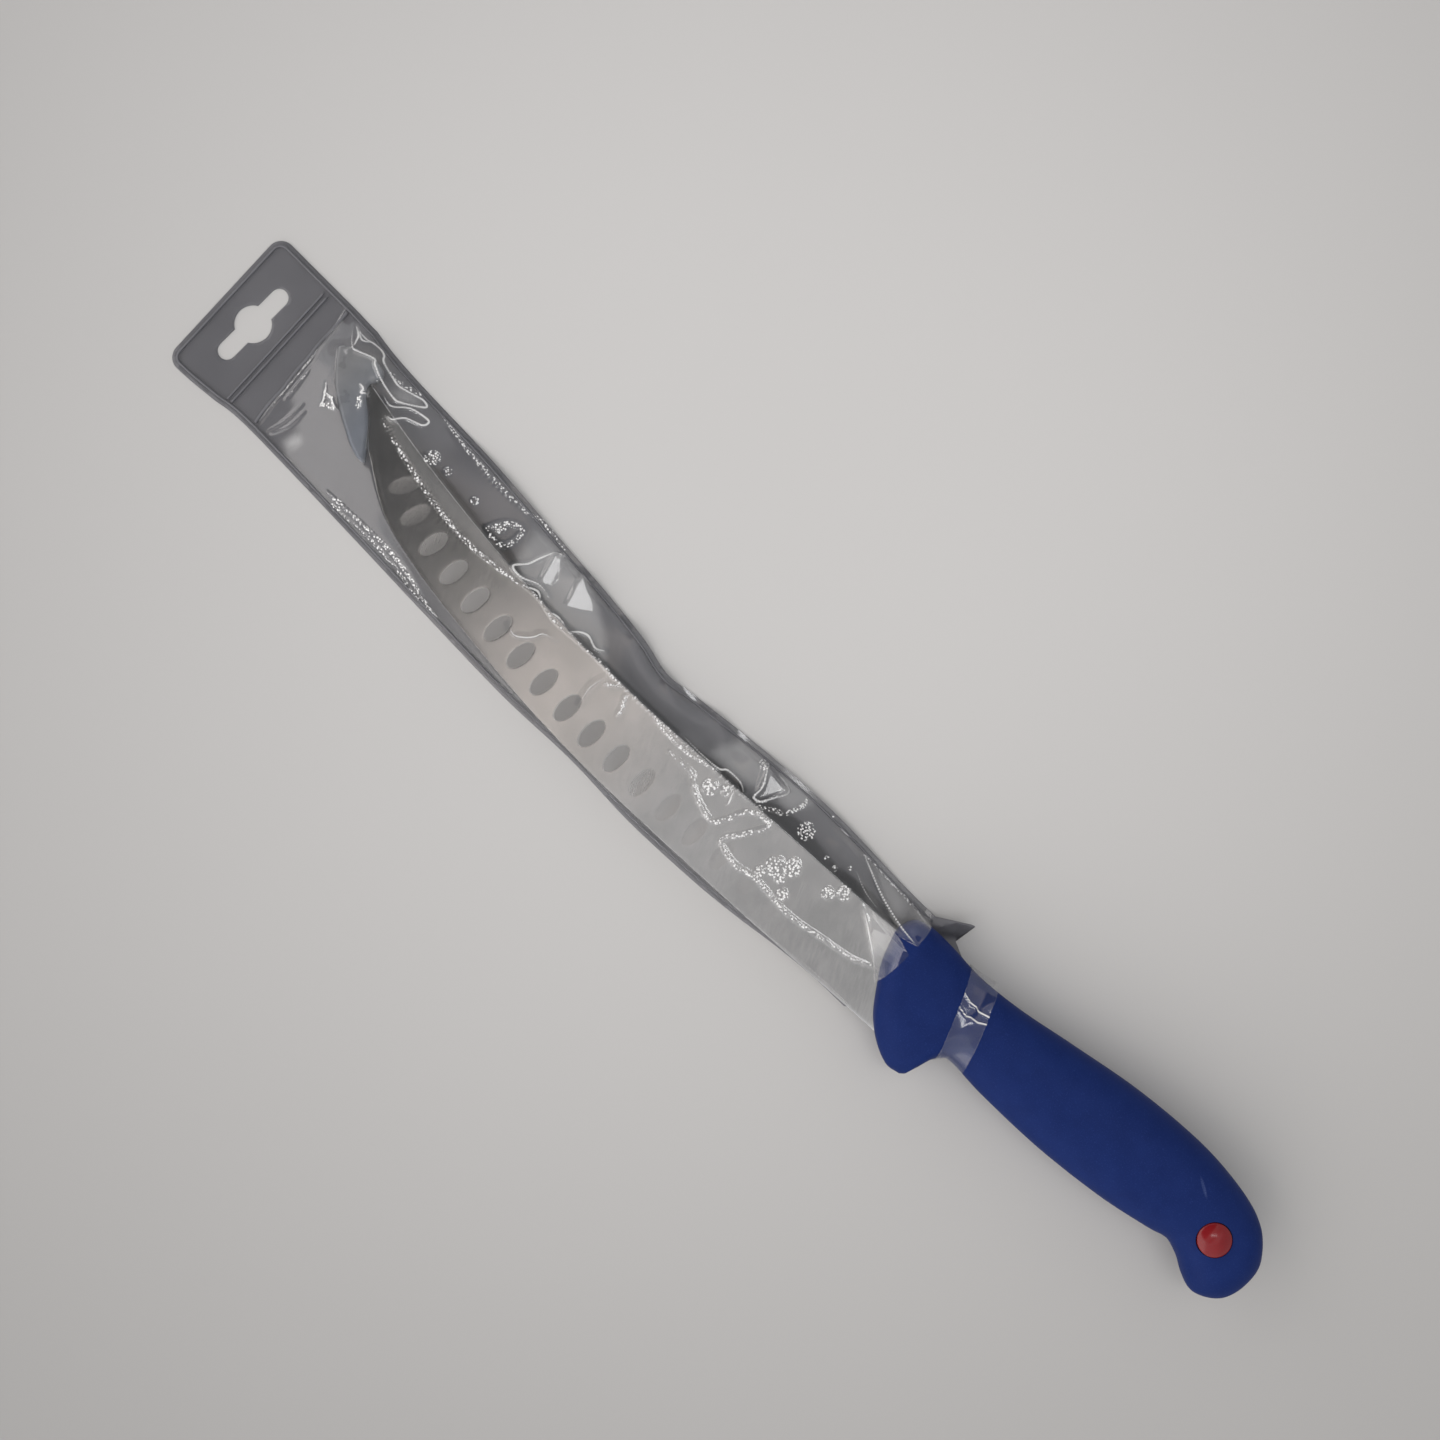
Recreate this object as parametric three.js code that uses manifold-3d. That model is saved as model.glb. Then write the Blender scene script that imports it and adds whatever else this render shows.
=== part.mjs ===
// A curved butcher knife with a scalloped blade, lying in the clear-fronted hanging sleeve that it is sold in.
// Millimetres, +Z up. X runs from the hanging tab to the butt of the handle, Y from the cutting edge to the spine.
// Plan places are measured from the point where the spine enters the handle.
import * as THREE from 'three';
import { mergeVertices } from 'three/addons/utils/BufferGeometryUtils.js';
import Module from 'manifold-3d';

// Blade
const BLADE_LENGTH = 260;
const BLADE_DEPTH = 29.2;
const SPINE_STOCK = 2.6;
const TIP_STOCK = 1.4;
const BEVEL_STOCK = 0.7;
const BEVEL_HEIGHT = 1.4;
const EDGE_STOCK = 0.2;
const SPINE_FALL_DEG = 3.3;
const SPINE_STRAIGHT = 96;
const SPINE_RADIUS = 605;
const TIP_BLUNT = 0.5;
// Cutting edge as [percent of the blade's length from the handle, percent of the blade's depth below the spine]
const EDGE_LINE = [
  [-16, 100], [0, 100], [15, 100.7], [34, 98.6], [50, 93.5], [64, 87.7], [73, 84.2], [80.7, 77.7],
  [84.5, 67.5], [89.2, 47.6], [93, 35], [97, 18], [100, 0],
];

// Hollow scallops ground into both faces, those of the back face half a pitch along
const SCALLOP_COUNT = 17;
const SCALLOP_PITCH = 11.75;
const SCALLOP_WIDTH = 5.4;
const SCALLOP_HEIGHT = 11.4;
const SCALLOP_DEPTH = 0.26;
const SCALLOP_ABOVE_EDGE = 9.3;
const SCALLOP_FROM_TIP = 39;
const SCALLOP_ROUNDNESS = 4;

// Tang, moulded into the handle
const TANG_LENGTH = 120;
const TANG_FRONT_DEPTH = 14;
const TANG_END_DEPTH = 9;
const HEEL_INSIDE = 22;
const SHOULDER_RUN = 9;
const LOCK_HOLE = 6;
const LOCK_HOLE_PERCENTS = [46, 80];
const MOULD_GAP = 0.3;

// Handle outline as [percent of its length, millimetres from the spine's entry], and its thickness
const HANDLE_LENGTH = 159.2;
const TOP_LINE = [
  [0, -0.5], [0.5, 4], [1.5, 6.8], [3.3, 8.4], [6.3, 9.1], [11.4, 9.1], [19.5, 8.6], [29.7, 10.4], [41.9, 14.3],
  [58.2, 19.1], [74.4, 21.2], [86.6, 19.6], [93.7, 15.9], [98.4, 8.8], [99.7, 4], [100, 0.5],
];
const BOTTOM_LINE = [
  [0, -0.5], [0.7, -3.6], [2.5, -10.6], [5.3, -17.4], [9, -24.9], [13.4, -30.2], [17.5, -32.9], [20, -32.5],
  [21.6, -31], [22.8, -23.6], [24.2, -19.7], [26.6, -17.6], [35.8, -18.1], [51, -17.3], [66.3, -14.4],
  [77.5, -10.6], [82.3, -8.5], [86.6, -10.2], [90.3, -13.4], [93.7, -14.7], [97.7, -11], [99.6, -5.1], [100, 0.5],
];
const GUARD_THICKNESS = 18.6;
const NECK_THICKNESS = 19.4;
const PALM_THICKNESS = 25.4;
const BUTT_THICKNESS = 21;
const GUARD_PERCENT = 9;
const NECK_PERCENT = 26;
const PALM_PERCENT = 62;
const BUTT_PERCENT = 92;
const NOSE_ROUND = 9;
const BUTT_ROUND = 11;
const SECTION_POWER = 2.4;

// Button plug in the butt
const PLUG_DIAMETER = 11;
const PLUG_DOME = 1.7;
const PLUG_DEPTH = 6;
const PLUG_FROM_BUTT = 20.7;
const PLUG_SIDE = 2.1;
const PLUG_GAP = 0.3;

// Tip guard, its outline measured from the blade's tip
const TIP_GUARD_THICKNESS = 4.6;
const TIP_GUARD_GAP = 0.3;
const TIP_GUARD_OUTLINE = [
  [29, -22.2], [27.6, -23.1], [22, -21.6], [12.1, -16.4], [3.9, -10.8], [-3.6, -2.3], [-2, 0.6], [0.8, 2.4],
  [7.2, 4], [13.1, 2.2], [12.7, -4.9], [20.3, -11.8],
];

// Sleeve: a grey back sheet welded round its rim to a clear front film
const BACK_FILM = 0.4;
const FRONT_FILM = 0.3;
const WELD_WIDTH = 2;
const TAB_LENGTH = 33.3;
const TAB_CORNER = 5;
// How far the tab's end runs off square, its lower corner being the nearer to the pouch
const TAB_SKEW = 1.8;
const TIP_ROOM = 12;
const MOUTH = 7.5;
const SLOT_LENGTH = 30.8;
const SLOT_WIDTH = 6.3;
const SLOT_HUMP = 12.6;
const SLOT_FROM_END = 14.4;
// Sleeve edges as [percent of the blade's length from the handle, millimetres]: the upper edge's height
// above the spine, and the lower edge's drop below the blade's own depth
const UPPER_SEAM = [
  [-3, 11.8], [3, 12.6], [15, 15.2], [26, 15.3], [38, 13.5], [43, 12.5], [49, 15.8], [60, 17.9], [78, 17.5],
  [97, 11.6], [105, 11.3], [119, 11.3],
];
const LOWER_SEAM = [
  [-3, 1], [3, 1.4], [9, 3], [15, 5.2], [22, 7], [33, 8.2], [44, 7.3], [56, 8.3], [72, 7.3], [85, 6.2],
  [103, 5.1], [109, 6.6], [114, 7.7], [119, 7.9],
];
// Loose corner and tail of the back sheet beyond the mouth
const FLAP = [[25.4, 7.8], [18.3, 11.1], [18, 18.9]];
const TAIL_SIDES = [-11, 3];
const FILM_CLEARANCE = 0.7;
const TENT_RUN = 34;
const RAMP_ROOM = 1;
const EDGE_SHOULDER = 2;
const LEAST_LEVEL = 6;
const SPINE_SIDE_POWER = 3;
const EDGE_SIDE_POWER = 4;

// Neck strap, a clear band that ties the sleeve's tail to the handle
const STRAP_FILM = 0.3;
const STRAP_WIDTH = 10;
const STRAP_GAP = 0.35;
const STRAP_MIDDLE = 37;
const STRAP_SLANT_DEG = 22;
const STRAP_WELD = 8;

// How the knife lies: its palm on the floor, its tip guard lifted clear of the back sheet
const TIP_GUARD_LIFT = 1.3;

// Smoothness of the faceted solids
const BLADE_STATIONS = 44;
const TANG_STATIONS = 18;
const HANDLE_STATIONS = 58;
const HANDLE_SIDES = 28;
const FILM_STATIONS = 42;
const LINE_STEPS = 24;
const ROUND_SIDES = 28;
const SCALLOP_SIDES = 12;
const SCALLOP_RINGS = 10;
const GUARD_CURVE_STEPS = 3;

const wasm = await Module();
wasm.setup();

const half = (size) => size / 2;
const lerp = THREE.MathUtils.lerp;
const smoothstep = THREE.MathUtils.smoothstep;

// A smooth line through [x, y] points in rising x, as a function of x.
function smoothLine(points) {
  const curve = new THREE.SplineCurve(points.map(([x, y]) => new THREE.Vector2(x, y)));
  const samples = curve.getPoints(LINE_STEPS * points.length);
  const last = samples.length - 1;
  return (x) => {
    const after = samples.findIndex((sample, i) => i > 0 && sample.x >= x);
    const end = after < 0 ? last : after;
    const from = samples[end - 1];
    const to = samples[end];
    const share = THREE.MathUtils.clamp((x - from.x) / (to.x - from.x || 1), 0, 1);
    return lerp(from.y, to.y, share);
  };
}

// Evenly spaced values from first to last, both included.
function evenly(first, last, count) {
  return Array.from({ length: count }, (_, i) => lerp(first, last, i / (count - 1)));
}

// Values from first to last that crowd towards both ends, for a form with rounded ends.
function crowded(first, last, count) {
  return evenly(0, Math.PI, count).map((angle) => lerp(first, last, half(1 - Math.cos(angle))));
}

// A closed geometry from points and triangles, turned so that its faces point out.
function closedGeometry(points, triangles) {
  const volume = triangles.reduce((sum, [a, b, c]) => {
    const across = new THREE.Vector3().crossVectors(points[b], points[c]);
    return sum + points[a].dot(across);
  }, 0);
  const faces = volume < 0 ? triangles.map(([a, b, c]) => [a, c, b]) : triangles;
  const geometry = new THREE.BufferGeometry().setFromPoints(points);
  geometry.setIndex(faces.flat());
  return geometry;
}

// A skin over rings of points. Each ring goes out along one side and back along the other,
// so its two ends close with strips between the sides.
function loft(rings) {
  const sides = rings[0].length;
  const triangles = [];
  const quad = (a, b, c, d) => triangles.push([a, b, c], [a, c, d]);
  for (let r = 0; r < rings.length - 1; r += 1) {
    for (let s = 0; s < sides; s += 1) {
      const next = (s + 1) % sides;
      quad(r * sides + s, r * sides + next, (r + 1) * sides + next, (r + 1) * sides + s);
    }
  }
  const lastRing = (rings.length - 1) * sides;
  for (let s = 0; s < sides / 2 - 1; s += 1) {
    const back = sides - 1 - s;
    quad(back, back - 1, s + 1, s);
    quad(lastRing + s, lastRing + s + 1, lastRing + back - 1, lastRing + back);
  }
  return closedGeometry(rings.flat(), triangles);
}

function toSolid(geometry) {
  const bare = geometry.clone();
  bare.deleteAttribute('normal');
  bare.deleteAttribute('uv');
  const merged = mergeVertices(bare);
  return new wasm.Manifold(new wasm.Mesh({
    numProp: 3,
    vertProperties: new Float32Array(merged.attributes.position.array),
    triVerts: new Uint32Array(merged.index.array),
  }));
}

function toGeometry(solid) {
  const mesh = solid.getMesh();
  const geometry = new THREE.BufferGeometry();
  geometry.setAttribute('position', new THREE.BufferAttribute(new Float32Array(mesh.vertProperties), 3));
  geometry.setIndex(Array.from(mesh.triVerts));
  return geometry;
}

// A round bar standing along Z between two heights.
function upright(diameter, x, y, bottom, top) {
  const geometry = new THREE.CylinderGeometry(half(diameter), half(diameter), top - bottom, ROUND_SIDES);
  geometry.rotateX(Math.PI / 2);
  geometry.translate(x, y, half(bottom + top));
  return toSolid(geometry);
}

// Blade lines in plan: the spine falls straight from the handle, then rises in an arc to the tip
const spineFall = THREE.MathUtils.degToRad(SPINE_FALL_DEG);
const arcCentre = new THREE.Vector2(
  -SPINE_STRAIGHT - SPINE_RADIUS * Math.sin(spineFall),
  -SPINE_STRAIGHT * Math.tan(spineFall) + SPINE_RADIUS * Math.cos(spineFall),
);
const edgeDepth = smoothLine(EDGE_LINE);

function spineAt(x) {
  if (x > -SPINE_STRAIGHT) return x * Math.tan(spineFall);
  return arcCentre.y - Math.sqrt(SPINE_RADIUS ** 2 - (x - arcCentre.x) ** 2);
}

function edgeAt(x) {
  const depth = BLADE_DEPTH * edgeDepth(-100 * x / BLADE_LENGTH) / 100;
  return spineAt(x) - Math.max(depth, TIP_BLUNT);
}

const tip = new THREE.Vector2(-BLADE_LENGTH, spineAt(-BLADE_LENGTH));

// Handle lines in plan, and its half thickness
const handleTopLine = smoothLine(TOP_LINE);
const handleBottomLine = smoothLine(BOTTOM_LINE);
const handleTop = (x) => handleTopLine(100 * x / HANDLE_LENGTH);
const handleBottom = (x) => handleBottomLine(100 * x / HANDLE_LENGTH);
const handleMiddle = (x) => half(handleTop(x) + handleBottom(x));
const handleThickness = smoothLine([
  [0, GUARD_THICKNESS], [GUARD_PERCENT, GUARD_THICKNESS], [NECK_PERCENT, NECK_THICKNESS],
  [PALM_PERCENT, PALM_THICKNESS], [BUTT_PERCENT, BUTT_THICKNESS], [100, BUTT_THICKNESS],
]);

// Full width in the middle of the handle, rounding to nothing at the nose and at the butt.
function roundedEnds(x) {
  const fromNose = THREE.MathUtils.clamp(x / NOSE_ROUND, 0, 1);
  const fromButt = THREE.MathUtils.clamp((HANDLE_LENGTH - x) / BUTT_ROUND, 0, 1);
  return Math.sqrt(1 - (1 - fromNose) ** 2) * Math.sqrt(1 - (1 - fromButt) ** 2);
}

const handleHalf = (x) => half(handleThickness(100 * x / HANDLE_LENGTH)) * roundedEnds(x);

// How the knife lies
const palmX = HANDLE_LENGTH * PALM_PERCENT / 100;
const guardReach = Math.min(...TIP_GUARD_OUTLINE.map(([x]) => x));
const layRun = palmX - tip.x - guardReach;
const layDrop = half(PALM_THICKNESS) - half(TIP_GUARD_THICKNESS) - BACK_FILM - TIP_GUARD_LIFT;
const lay = Math.atan2(layDrop, layRun);
const handleStations = crowded(0.002 * HANDLE_LENGTH, 0.998 * HANDLE_LENGTH, HANDLE_STATIONS);
const restHeight = Math.max(...handleStations.map((x) => handleHalf(x) * Math.cos(lay) - x * Math.sin(lay)));
const knifeMiddle = (x) => restHeight + x * Math.tan(lay);

// Blade and tang, made larger all round by a gap where a neighbour is cut to take them.
function bladeSection(x, gap) {
  const inside = smoothstep(x, HEEL_INSIDE, HEEL_INSIDE + SHOULDER_RUN);
  const tangHalf = half(lerp(TANG_FRONT_DEPTH, TANG_END_DEPTH, THREE.MathUtils.clamp(x / TANG_LENGTH, 0, 1)));
  const near = [x - gap, x, x + gap];
  const top = lerp(Math.max(...near.map(spineAt)), handleMiddle(x) + tangHalf, inside);
  const bottom = lerp(Math.min(...near.map(edgeAt)), handleMiddle(x) - tangHalf, inside);
  const alongBlade = THREE.MathUtils.clamp(-x / BLADE_LENGTH, 0, 1);
  const spineHalf = half(lerp(SPINE_STOCK, TIP_STOCK, alongBlade));
  const bevelHalf = lerp(half(BEVEL_STOCK), spineHalf, inside);
  const edgeHalf = lerp(half(EDGE_STOCK), spineHalf, inside);
  const bevelTop = bottom + Math.min(BEVEL_HEIGHT, half(top - bottom));
  return { top: top + gap, bottom: bottom - gap, bevelTop, spineHalf: spineHalf + gap,
    bevelHalf: bevelHalf + gap, edgeHalf: edgeHalf + gap };
}

function bladeSolid(gap, from) {
  const bladeXs = evenly(-BLADE_LENGTH, 0, BLADE_STATIONS).filter((x) => x > from);
  const tangXs = evenly(0, TANG_LENGTH + gap, TANG_STATIONS).slice(1);
  const rings = [from, ...bladeXs, ...tangXs].map((x) => {
    const s = bladeSection(x, gap);
    const side = [[s.bottom, s.edgeHalf], [s.bevelTop, s.bevelHalf], [s.top, s.spineHalf]];
    const front = side.map(([y, z]) => new THREE.Vector3(x, y, z));
    const back = side.map(([y, z]) => new THREE.Vector3(x, y, -z));
    return [...front, ...back.reverse()];
  });
  return toSolid(loft(rings));
}

function lockBars(diameter) {
  return LOCK_HOLE_PERCENTS.map((percent) => {
    const x = TANG_LENGTH * percent / 100;
    return upright(diameter, x, handleMiddle(x), -PALM_THICKNESS / 4, PALM_THICKNESS / 4);
  });
}

// One scallop cutter: a cap of a squashed ball that bites the blade's face.
function scallop(x, faceSide) {
  const step = SCALLOP_PITCH / 10;
  const along = new THREE.Vector2(2 * step, edgeAt(x + step) - edgeAt(x - step)).normalize();
  const centre = new THREE.Vector2(x, edgeAt(x));
  centre.add(new THREE.Vector2(-along.y, along.x).multiplyScalar(SCALLOP_ABOVE_EDGE));
  const section = bladeSection(centre.x, 0);
  const faceRise = section.spineHalf - section.bevelHalf;
  const faceRun = section.top - section.bevelTop;
  const faceHalf = section.bevelHalf + faceRise * (centre.y - section.bevelTop) / faceRun;
  const ballHalf = SCALLOP_ROUNDNESS * SCALLOP_DEPTH;
  const capShare = Math.sqrt(1 - ((ballHalf - SCALLOP_DEPTH) / ballHalf) ** 2);
  const geometry = new THREE.SphereGeometry(1, SCALLOP_SIDES, SCALLOP_RINGS);
  geometry.rotateX(Math.PI / 2);
  geometry.scale(half(SCALLOP_WIDTH) / capShare, half(SCALLOP_HEIGHT) / capShare, ballHalf);
  geometry.translate(0, 0, ballHalf - SCALLOP_DEPTH);
  geometry.rotateX(Math.atan2(faceRise, faceRun));
  geometry.rotateZ(Math.atan2(along.y, along.x));
  geometry.translate(centre.x, centre.y, faceHalf);
  const solid = toSolid(geometry);
  return faceSide > 0 ? solid : solid.mirror([0, 0, 1]);
}

function makeBlade() {
  let blade = bladeSolid(0, -BLADE_LENGTH);
  for (const bar of lockBars(LOCK_HOLE)) blade = blade.subtract(bar);
  for (let i = 0; i < SCALLOP_COUNT; i += 1) {
    const x = -BLADE_LENGTH + SCALLOP_FROM_TIP + i * SCALLOP_PITCH;
    blade = blade.subtract(scallop(x, 1)).subtract(scallop(x + half(SCALLOP_PITCH), -1));
  }
  return toGeometry(blade);
}

// The handle's outer form, made larger all round by a gap for the strap that goes about it.
function handleForm(gap) {
  const power = 2 / SECTION_POWER;
  const rings = handleStations.map((x) => {
    const near = [x - gap, x, x + gap];
    const top = Math.max(...near.map(handleTop)) + gap;
    const bottom = Math.min(...near.map(handleBottom)) - gap;
    const middle = half(top + bottom);
    return Array.from({ length: HANDLE_SIDES }, (_, i) => {
      const angle = 2 * Math.PI * (i + 0.5) / HANDLE_SIDES - Math.PI / 2;
      const across = Math.sign(Math.sin(angle)) * Math.abs(Math.sin(angle)) ** power;
      const out = Math.sign(Math.cos(angle)) * Math.abs(Math.cos(angle)) ** power;
      return new THREE.Vector3(x, middle + half(top - bottom) * across, (handleHalf(x) + gap) * out);
    });
  });
  return toSolid(loft(rings));
}

const plugX = HANDLE_LENGTH - PLUG_FROM_BUTT;
const plugSeat = handleHalf(plugX) - PLUG_DEPTH;

function makeHandle() {
  const pegs = lockBars(LOCK_HOLE - 2 * MOULD_GAP);
  let slot = bladeSolid(MOULD_GAP, -NOSE_ROUND);
  for (const peg of pegs) slot = slot.subtract(peg);
  const plugHole = upright(PLUG_DIAMETER + 2 * PLUG_GAP, plugX, PLUG_SIDE, plugSeat, PALM_THICKNESS);
  return toGeometry(handleForm(0).subtract(slot).subtract(plugHole));
}

function makePlug() {
  const radius = half(PLUG_DIAMETER);
  const shoulder = PLUG_DEPTH - PLUG_GAP;
  const domeRadius = (radius ** 2 + PLUG_DOME ** 2) / (2 * PLUG_DOME);
  const dome = evenly(Math.asin(radius / domeRadius), 0, 7).map((angle) => (
    new THREE.Vector2(domeRadius * Math.sin(angle), shoulder + PLUG_DOME - domeRadius * (1 - Math.cos(angle)))
  ));
  dome[dome.length - 1].x = 0;
  const profile = [new THREE.Vector2(0, PLUG_GAP), new THREE.Vector2(radius, PLUG_GAP), ...dome];
  const geometry = new THREE.LatheGeometry(profile, ROUND_SIDES);
  geometry.rotateX(Math.PI / 2);
  return toGeometry(toSolid(geometry));
}

function makeTipGuard() {
  const outline = TIP_GUARD_OUTLINE.map(([x, y]) => new THREE.Vector2(tip.x + x, tip.y + y));
  const [first, ...others] = outline;
  const shape = new THREE.Shape().moveTo(first.x, first.y);
  const mouthCorners = 2;
  shape.splineThru(others.slice(0, -mouthCorners));
  for (const corner of others.slice(-mouthCorners)) shape.lineTo(corner.x, corner.y);
  const geometry = new THREE.ExtrudeGeometry(shape, {
    depth: TIP_GUARD_THICKNESS,
    bevelEnabled: false,
    curveSegments: GUARD_CURVE_STEPS,
  });
  geometry.translate(0, 0, -half(TIP_GUARD_THICKNESS));
  return toGeometry(toSolid(geometry).subtract(bladeSolid(TIP_GUARD_GAP, -BLADE_LENGTH - TIP_GUARD_GAP)));
}

// Sleeve lines in plan
const pouchStart = tip.x - TIP_ROOM;
const tabEnd = pouchStart - TAB_LENGTH;
const upperSeamLine = smoothLine(UPPER_SEAM);
const lowerSeamLine = smoothLine(LOWER_SEAM);
const alongSleeve = (x) => -100 * x / BLADE_LENGTH;

function cornerInset(x) {
  const intoCorner = THREE.MathUtils.clamp(TAB_CORNER - (x - tabEnd), 0, TAB_CORNER);
  return TAB_CORNER - Math.sqrt(TAB_CORNER ** 2 - intoCorner ** 2);
}

const upperSeam = (x) => spineAt(Math.max(x, tip.x)) + upperSeamLine(alongSleeve(x)) - cornerInset(x);
const lowerSeam = (x) => -BLADE_DEPTH - lowerSeamLine(alongSleeve(x)) + cornerInset(x);
// The place along the sleeve of a point that is drawn square to it, carried over with the tab's skew.
function skewed(x, y) {
  const downTab = (upperSeam(x) - y) / (upperSeam(x) - lowerSeam(x));
  return x + TAB_SKEW * downTab * (1 - smoothstep(x, tabEnd, pouchStart));
}

const cornerXs = crowded(tabEnd, tabEnd + 2 * TAB_CORNER, 9).slice(0, 5);
const sleeveXs = [...cornerXs, ...evenly(tabEnd + TAB_CORNER, MOUTH, FILM_STATIONS).slice(1)];

// The hanging slot: a bar with round ends and a round hump in its middle, cut right through the tab.
function hangingSlot() {
  const x = tabEnd + SLOT_FROM_END;
  const y = half(upperSeam(x) + lowerSeam(x));
  const top = 10 * (BACK_FILM + FRONT_FILM);
  const reach = half(SLOT_LENGTH - SLOT_WIDTH);
  const bar = new THREE.BoxGeometry(SLOT_WIDTH, 2 * reach, 2 * top);
  bar.translate(x, y, 0);
  let slot = toSolid(bar).add(upright(SLOT_HUMP, x, y, -top, top));
  for (const side of [-reach, reach]) slot = slot.add(upright(SLOT_WIDTH, x, y + side, -top, top));
  return slot;
}

function makeSleeveBack() {
  const tailEnd = STRAP_MIDDLE + half(STRAP_WIDTH);
  const [tailLow, tailHigh] = TAIL_SIDES;
  const lower = sleeveXs.map((x) => new THREE.Vector2(skewed(x, lowerSeam(x)), lowerSeam(x)));
  const upper = sleeveXs.map((x) => new THREE.Vector2(x, upperSeam(x))).reverse();
  const tail = [[tailEnd - STRAP_WIDTH, tailLow], [tailEnd, tailLow], [tailEnd, tailHigh]];
  const loose = [...tail, ...FLAP].map(([x, y]) => new THREE.Vector2(x, y));
  const shape = new THREE.Shape([...lower, ...loose, ...upper]);
  const sheet = new THREE.ExtrudeGeometry(shape, { depth: BACK_FILM, bevelEnabled: false });
  return toGeometry(toSolid(sheet).subtract(hangingSlot()));
}

// Height of the front film's underside over the knife: low at the tab, over the tip guard and the blade,
// then up over the front of the handle.
function filmHeight(x) {
  const guardTop = knifeMiddle(tip.x + TIP_GUARD_OUTLINE[0][0]) + half(TIP_GUARD_THICKNESS);
  const handleFront = Math.max(...evenly(0, MOUTH, 8).map((at) => knifeMiddle(at) + handleHalf(at)));
  const overBlade = Math.max(guardTop, knifeMiddle(x) + half(SPINE_STOCK)) + FILM_CLEARANCE;
  const overKnife = lerp(overBlade, handleFront + FILM_CLEARANCE, smoothstep(x, -TENT_RUN, 0));
  return lerp(BACK_FILM, overKnife, smoothstep(x, pouchStart, tip.x + guardReach - RAMP_ROOM));
}

// One slice of the front film's underside, from the lower rim over the knife to the upper rim.
function filmSlice(x) {
  const top = filmHeight(x) - BACK_FILM;
  const onBlade = Math.max(x, tip.x);
  const lowInside = Math.min(lowerSeam(x) + WELD_WIDTH, edgeAt(onBlade) - FILM_CLEARANCE);
  const highInside = upperSeam(x) - WELD_WIDTH;
  const spineSide = Math.min(spineAt(onBlade), highInside - EDGE_SHOULDER);
  const edgeSide = Math.min(edgeAt(onBlade) + EDGE_SHOULDER, spineSide - LEAST_LEVEL);
  const slice = [[lowerSeam(x), 0]];
  for (const degrees of [0, 8, 24, 50, 90]) {
    const angle = THREE.MathUtils.degToRad(degrees);
    const out = Math.abs(Math.cos(angle)) ** (2 / EDGE_SIDE_POWER);
    slice.push([lerp(edgeSide, lowInside, degrees === 90 ? 0 : out), top * Math.sin(angle) ** (2 / EDGE_SIDE_POWER)]);
  }
  slice.push([half(edgeSide + spineSide), top]);
  for (const degrees of [90, 66, 46, 28, 14, 5, 0]) {
    const angle = THREE.MathUtils.degToRad(degrees);
    const out = Math.abs(Math.cos(angle)) ** (2 / SPINE_SIDE_POWER);
    slice.push([lerp(spineSide, highInside, degrees === 90 ? 0 : out), top * Math.sin(angle) ** (2 / SPINE_SIDE_POWER)]);
  }
  slice.push([upperSeam(x), 0]);
  return slice.map(([y, z]) => new THREE.Vector2(y, BACK_FILM + z));
}

// The same slice moved outwards by the film's thickness.
function outsideOf(slice) {
  const normals = slice.slice(1).map((point, i) => {
    const along = point.clone().sub(slice[i]).normalize();
    return new THREE.Vector2(-along.y, along.x);
  });
  return slice.map((point, i) => {
    const before = normals[Math.max(i - 1, 0)];
    const after = normals[Math.min(i, normals.length - 1)];
    const mitre = before.clone().add(after);
    return point.clone().add(mitre.multiplyScalar(2 * FRONT_FILM / mitre.lengthSq()));
  });
}

function makeSleeveFront() {
  const rings = sleeveXs.map((x) => {
    const slice = filmSlice(x);
    const under = slice.map((p) => new THREE.Vector3(skewed(x, p.x), p.x, p.y));
    const over = outsideOf(slice).map((p) => new THREE.Vector3(skewed(x, p.x), p.x, p.y));
    return [...under, ...over.reverse()];
  });
  return toGeometry(toSolid(loft(rings)).subtract(hangingSlot()));
}

const knifeTurn = new THREE.Matrix4().makeRotationY(-lay).setPosition(0, 0, restHeight);

function makeNeckStrap() {
  const band = new THREE.BoxGeometry(STRAP_WIDTH, 4 * PALM_THICKNESS, 4 * PALM_THICKNESS);
  band.rotateZ(THREE.MathUtils.degToRad(STRAP_SLANT_DEG));
  band.translate(STRAP_MIDDLE, handleMiddle(STRAP_MIDDLE), 0);
  const ring = handleForm(STRAP_GAP + STRAP_FILM).subtract(handleForm(STRAP_GAP)).intersect(toSolid(band));
  const ringGeometry = toGeometry(ring).applyMatrix4(knifeTurn);
  const ringBottom = knifeMiddle(STRAP_MIDDLE) - handleHalf(STRAP_MIDDLE) - STRAP_GAP;
  const weldHeight = ringBottom - half(STRAP_FILM) - BACK_FILM;
  const weld = new THREE.BoxGeometry(STRAP_WELD, STRAP_WELD, weldHeight);
  weld.translate(STRAP_MIDDLE, handleMiddle(STRAP_MIDDLE), BACK_FILM + half(weldHeight));
  return toGeometry(toSolid(ringGeometry).add(toSolid(weld)));
}

function piece(name, geometry, color, roughness, metalness, opacity = 1) {
  const material = new THREE.MeshStandardMaterial({
    color, roughness, metalness, opacity, transparent: opacity < 1,
  });
  const mesh = new THREE.Mesh(geometry, material);
  mesh.name = name;
  return mesh;
}

const plug = piece('end_plug', makePlug(), 0xa83a38, 0.25, 0);
plug.position.set(plugX, PLUG_SIDE, plugSeat);

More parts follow.
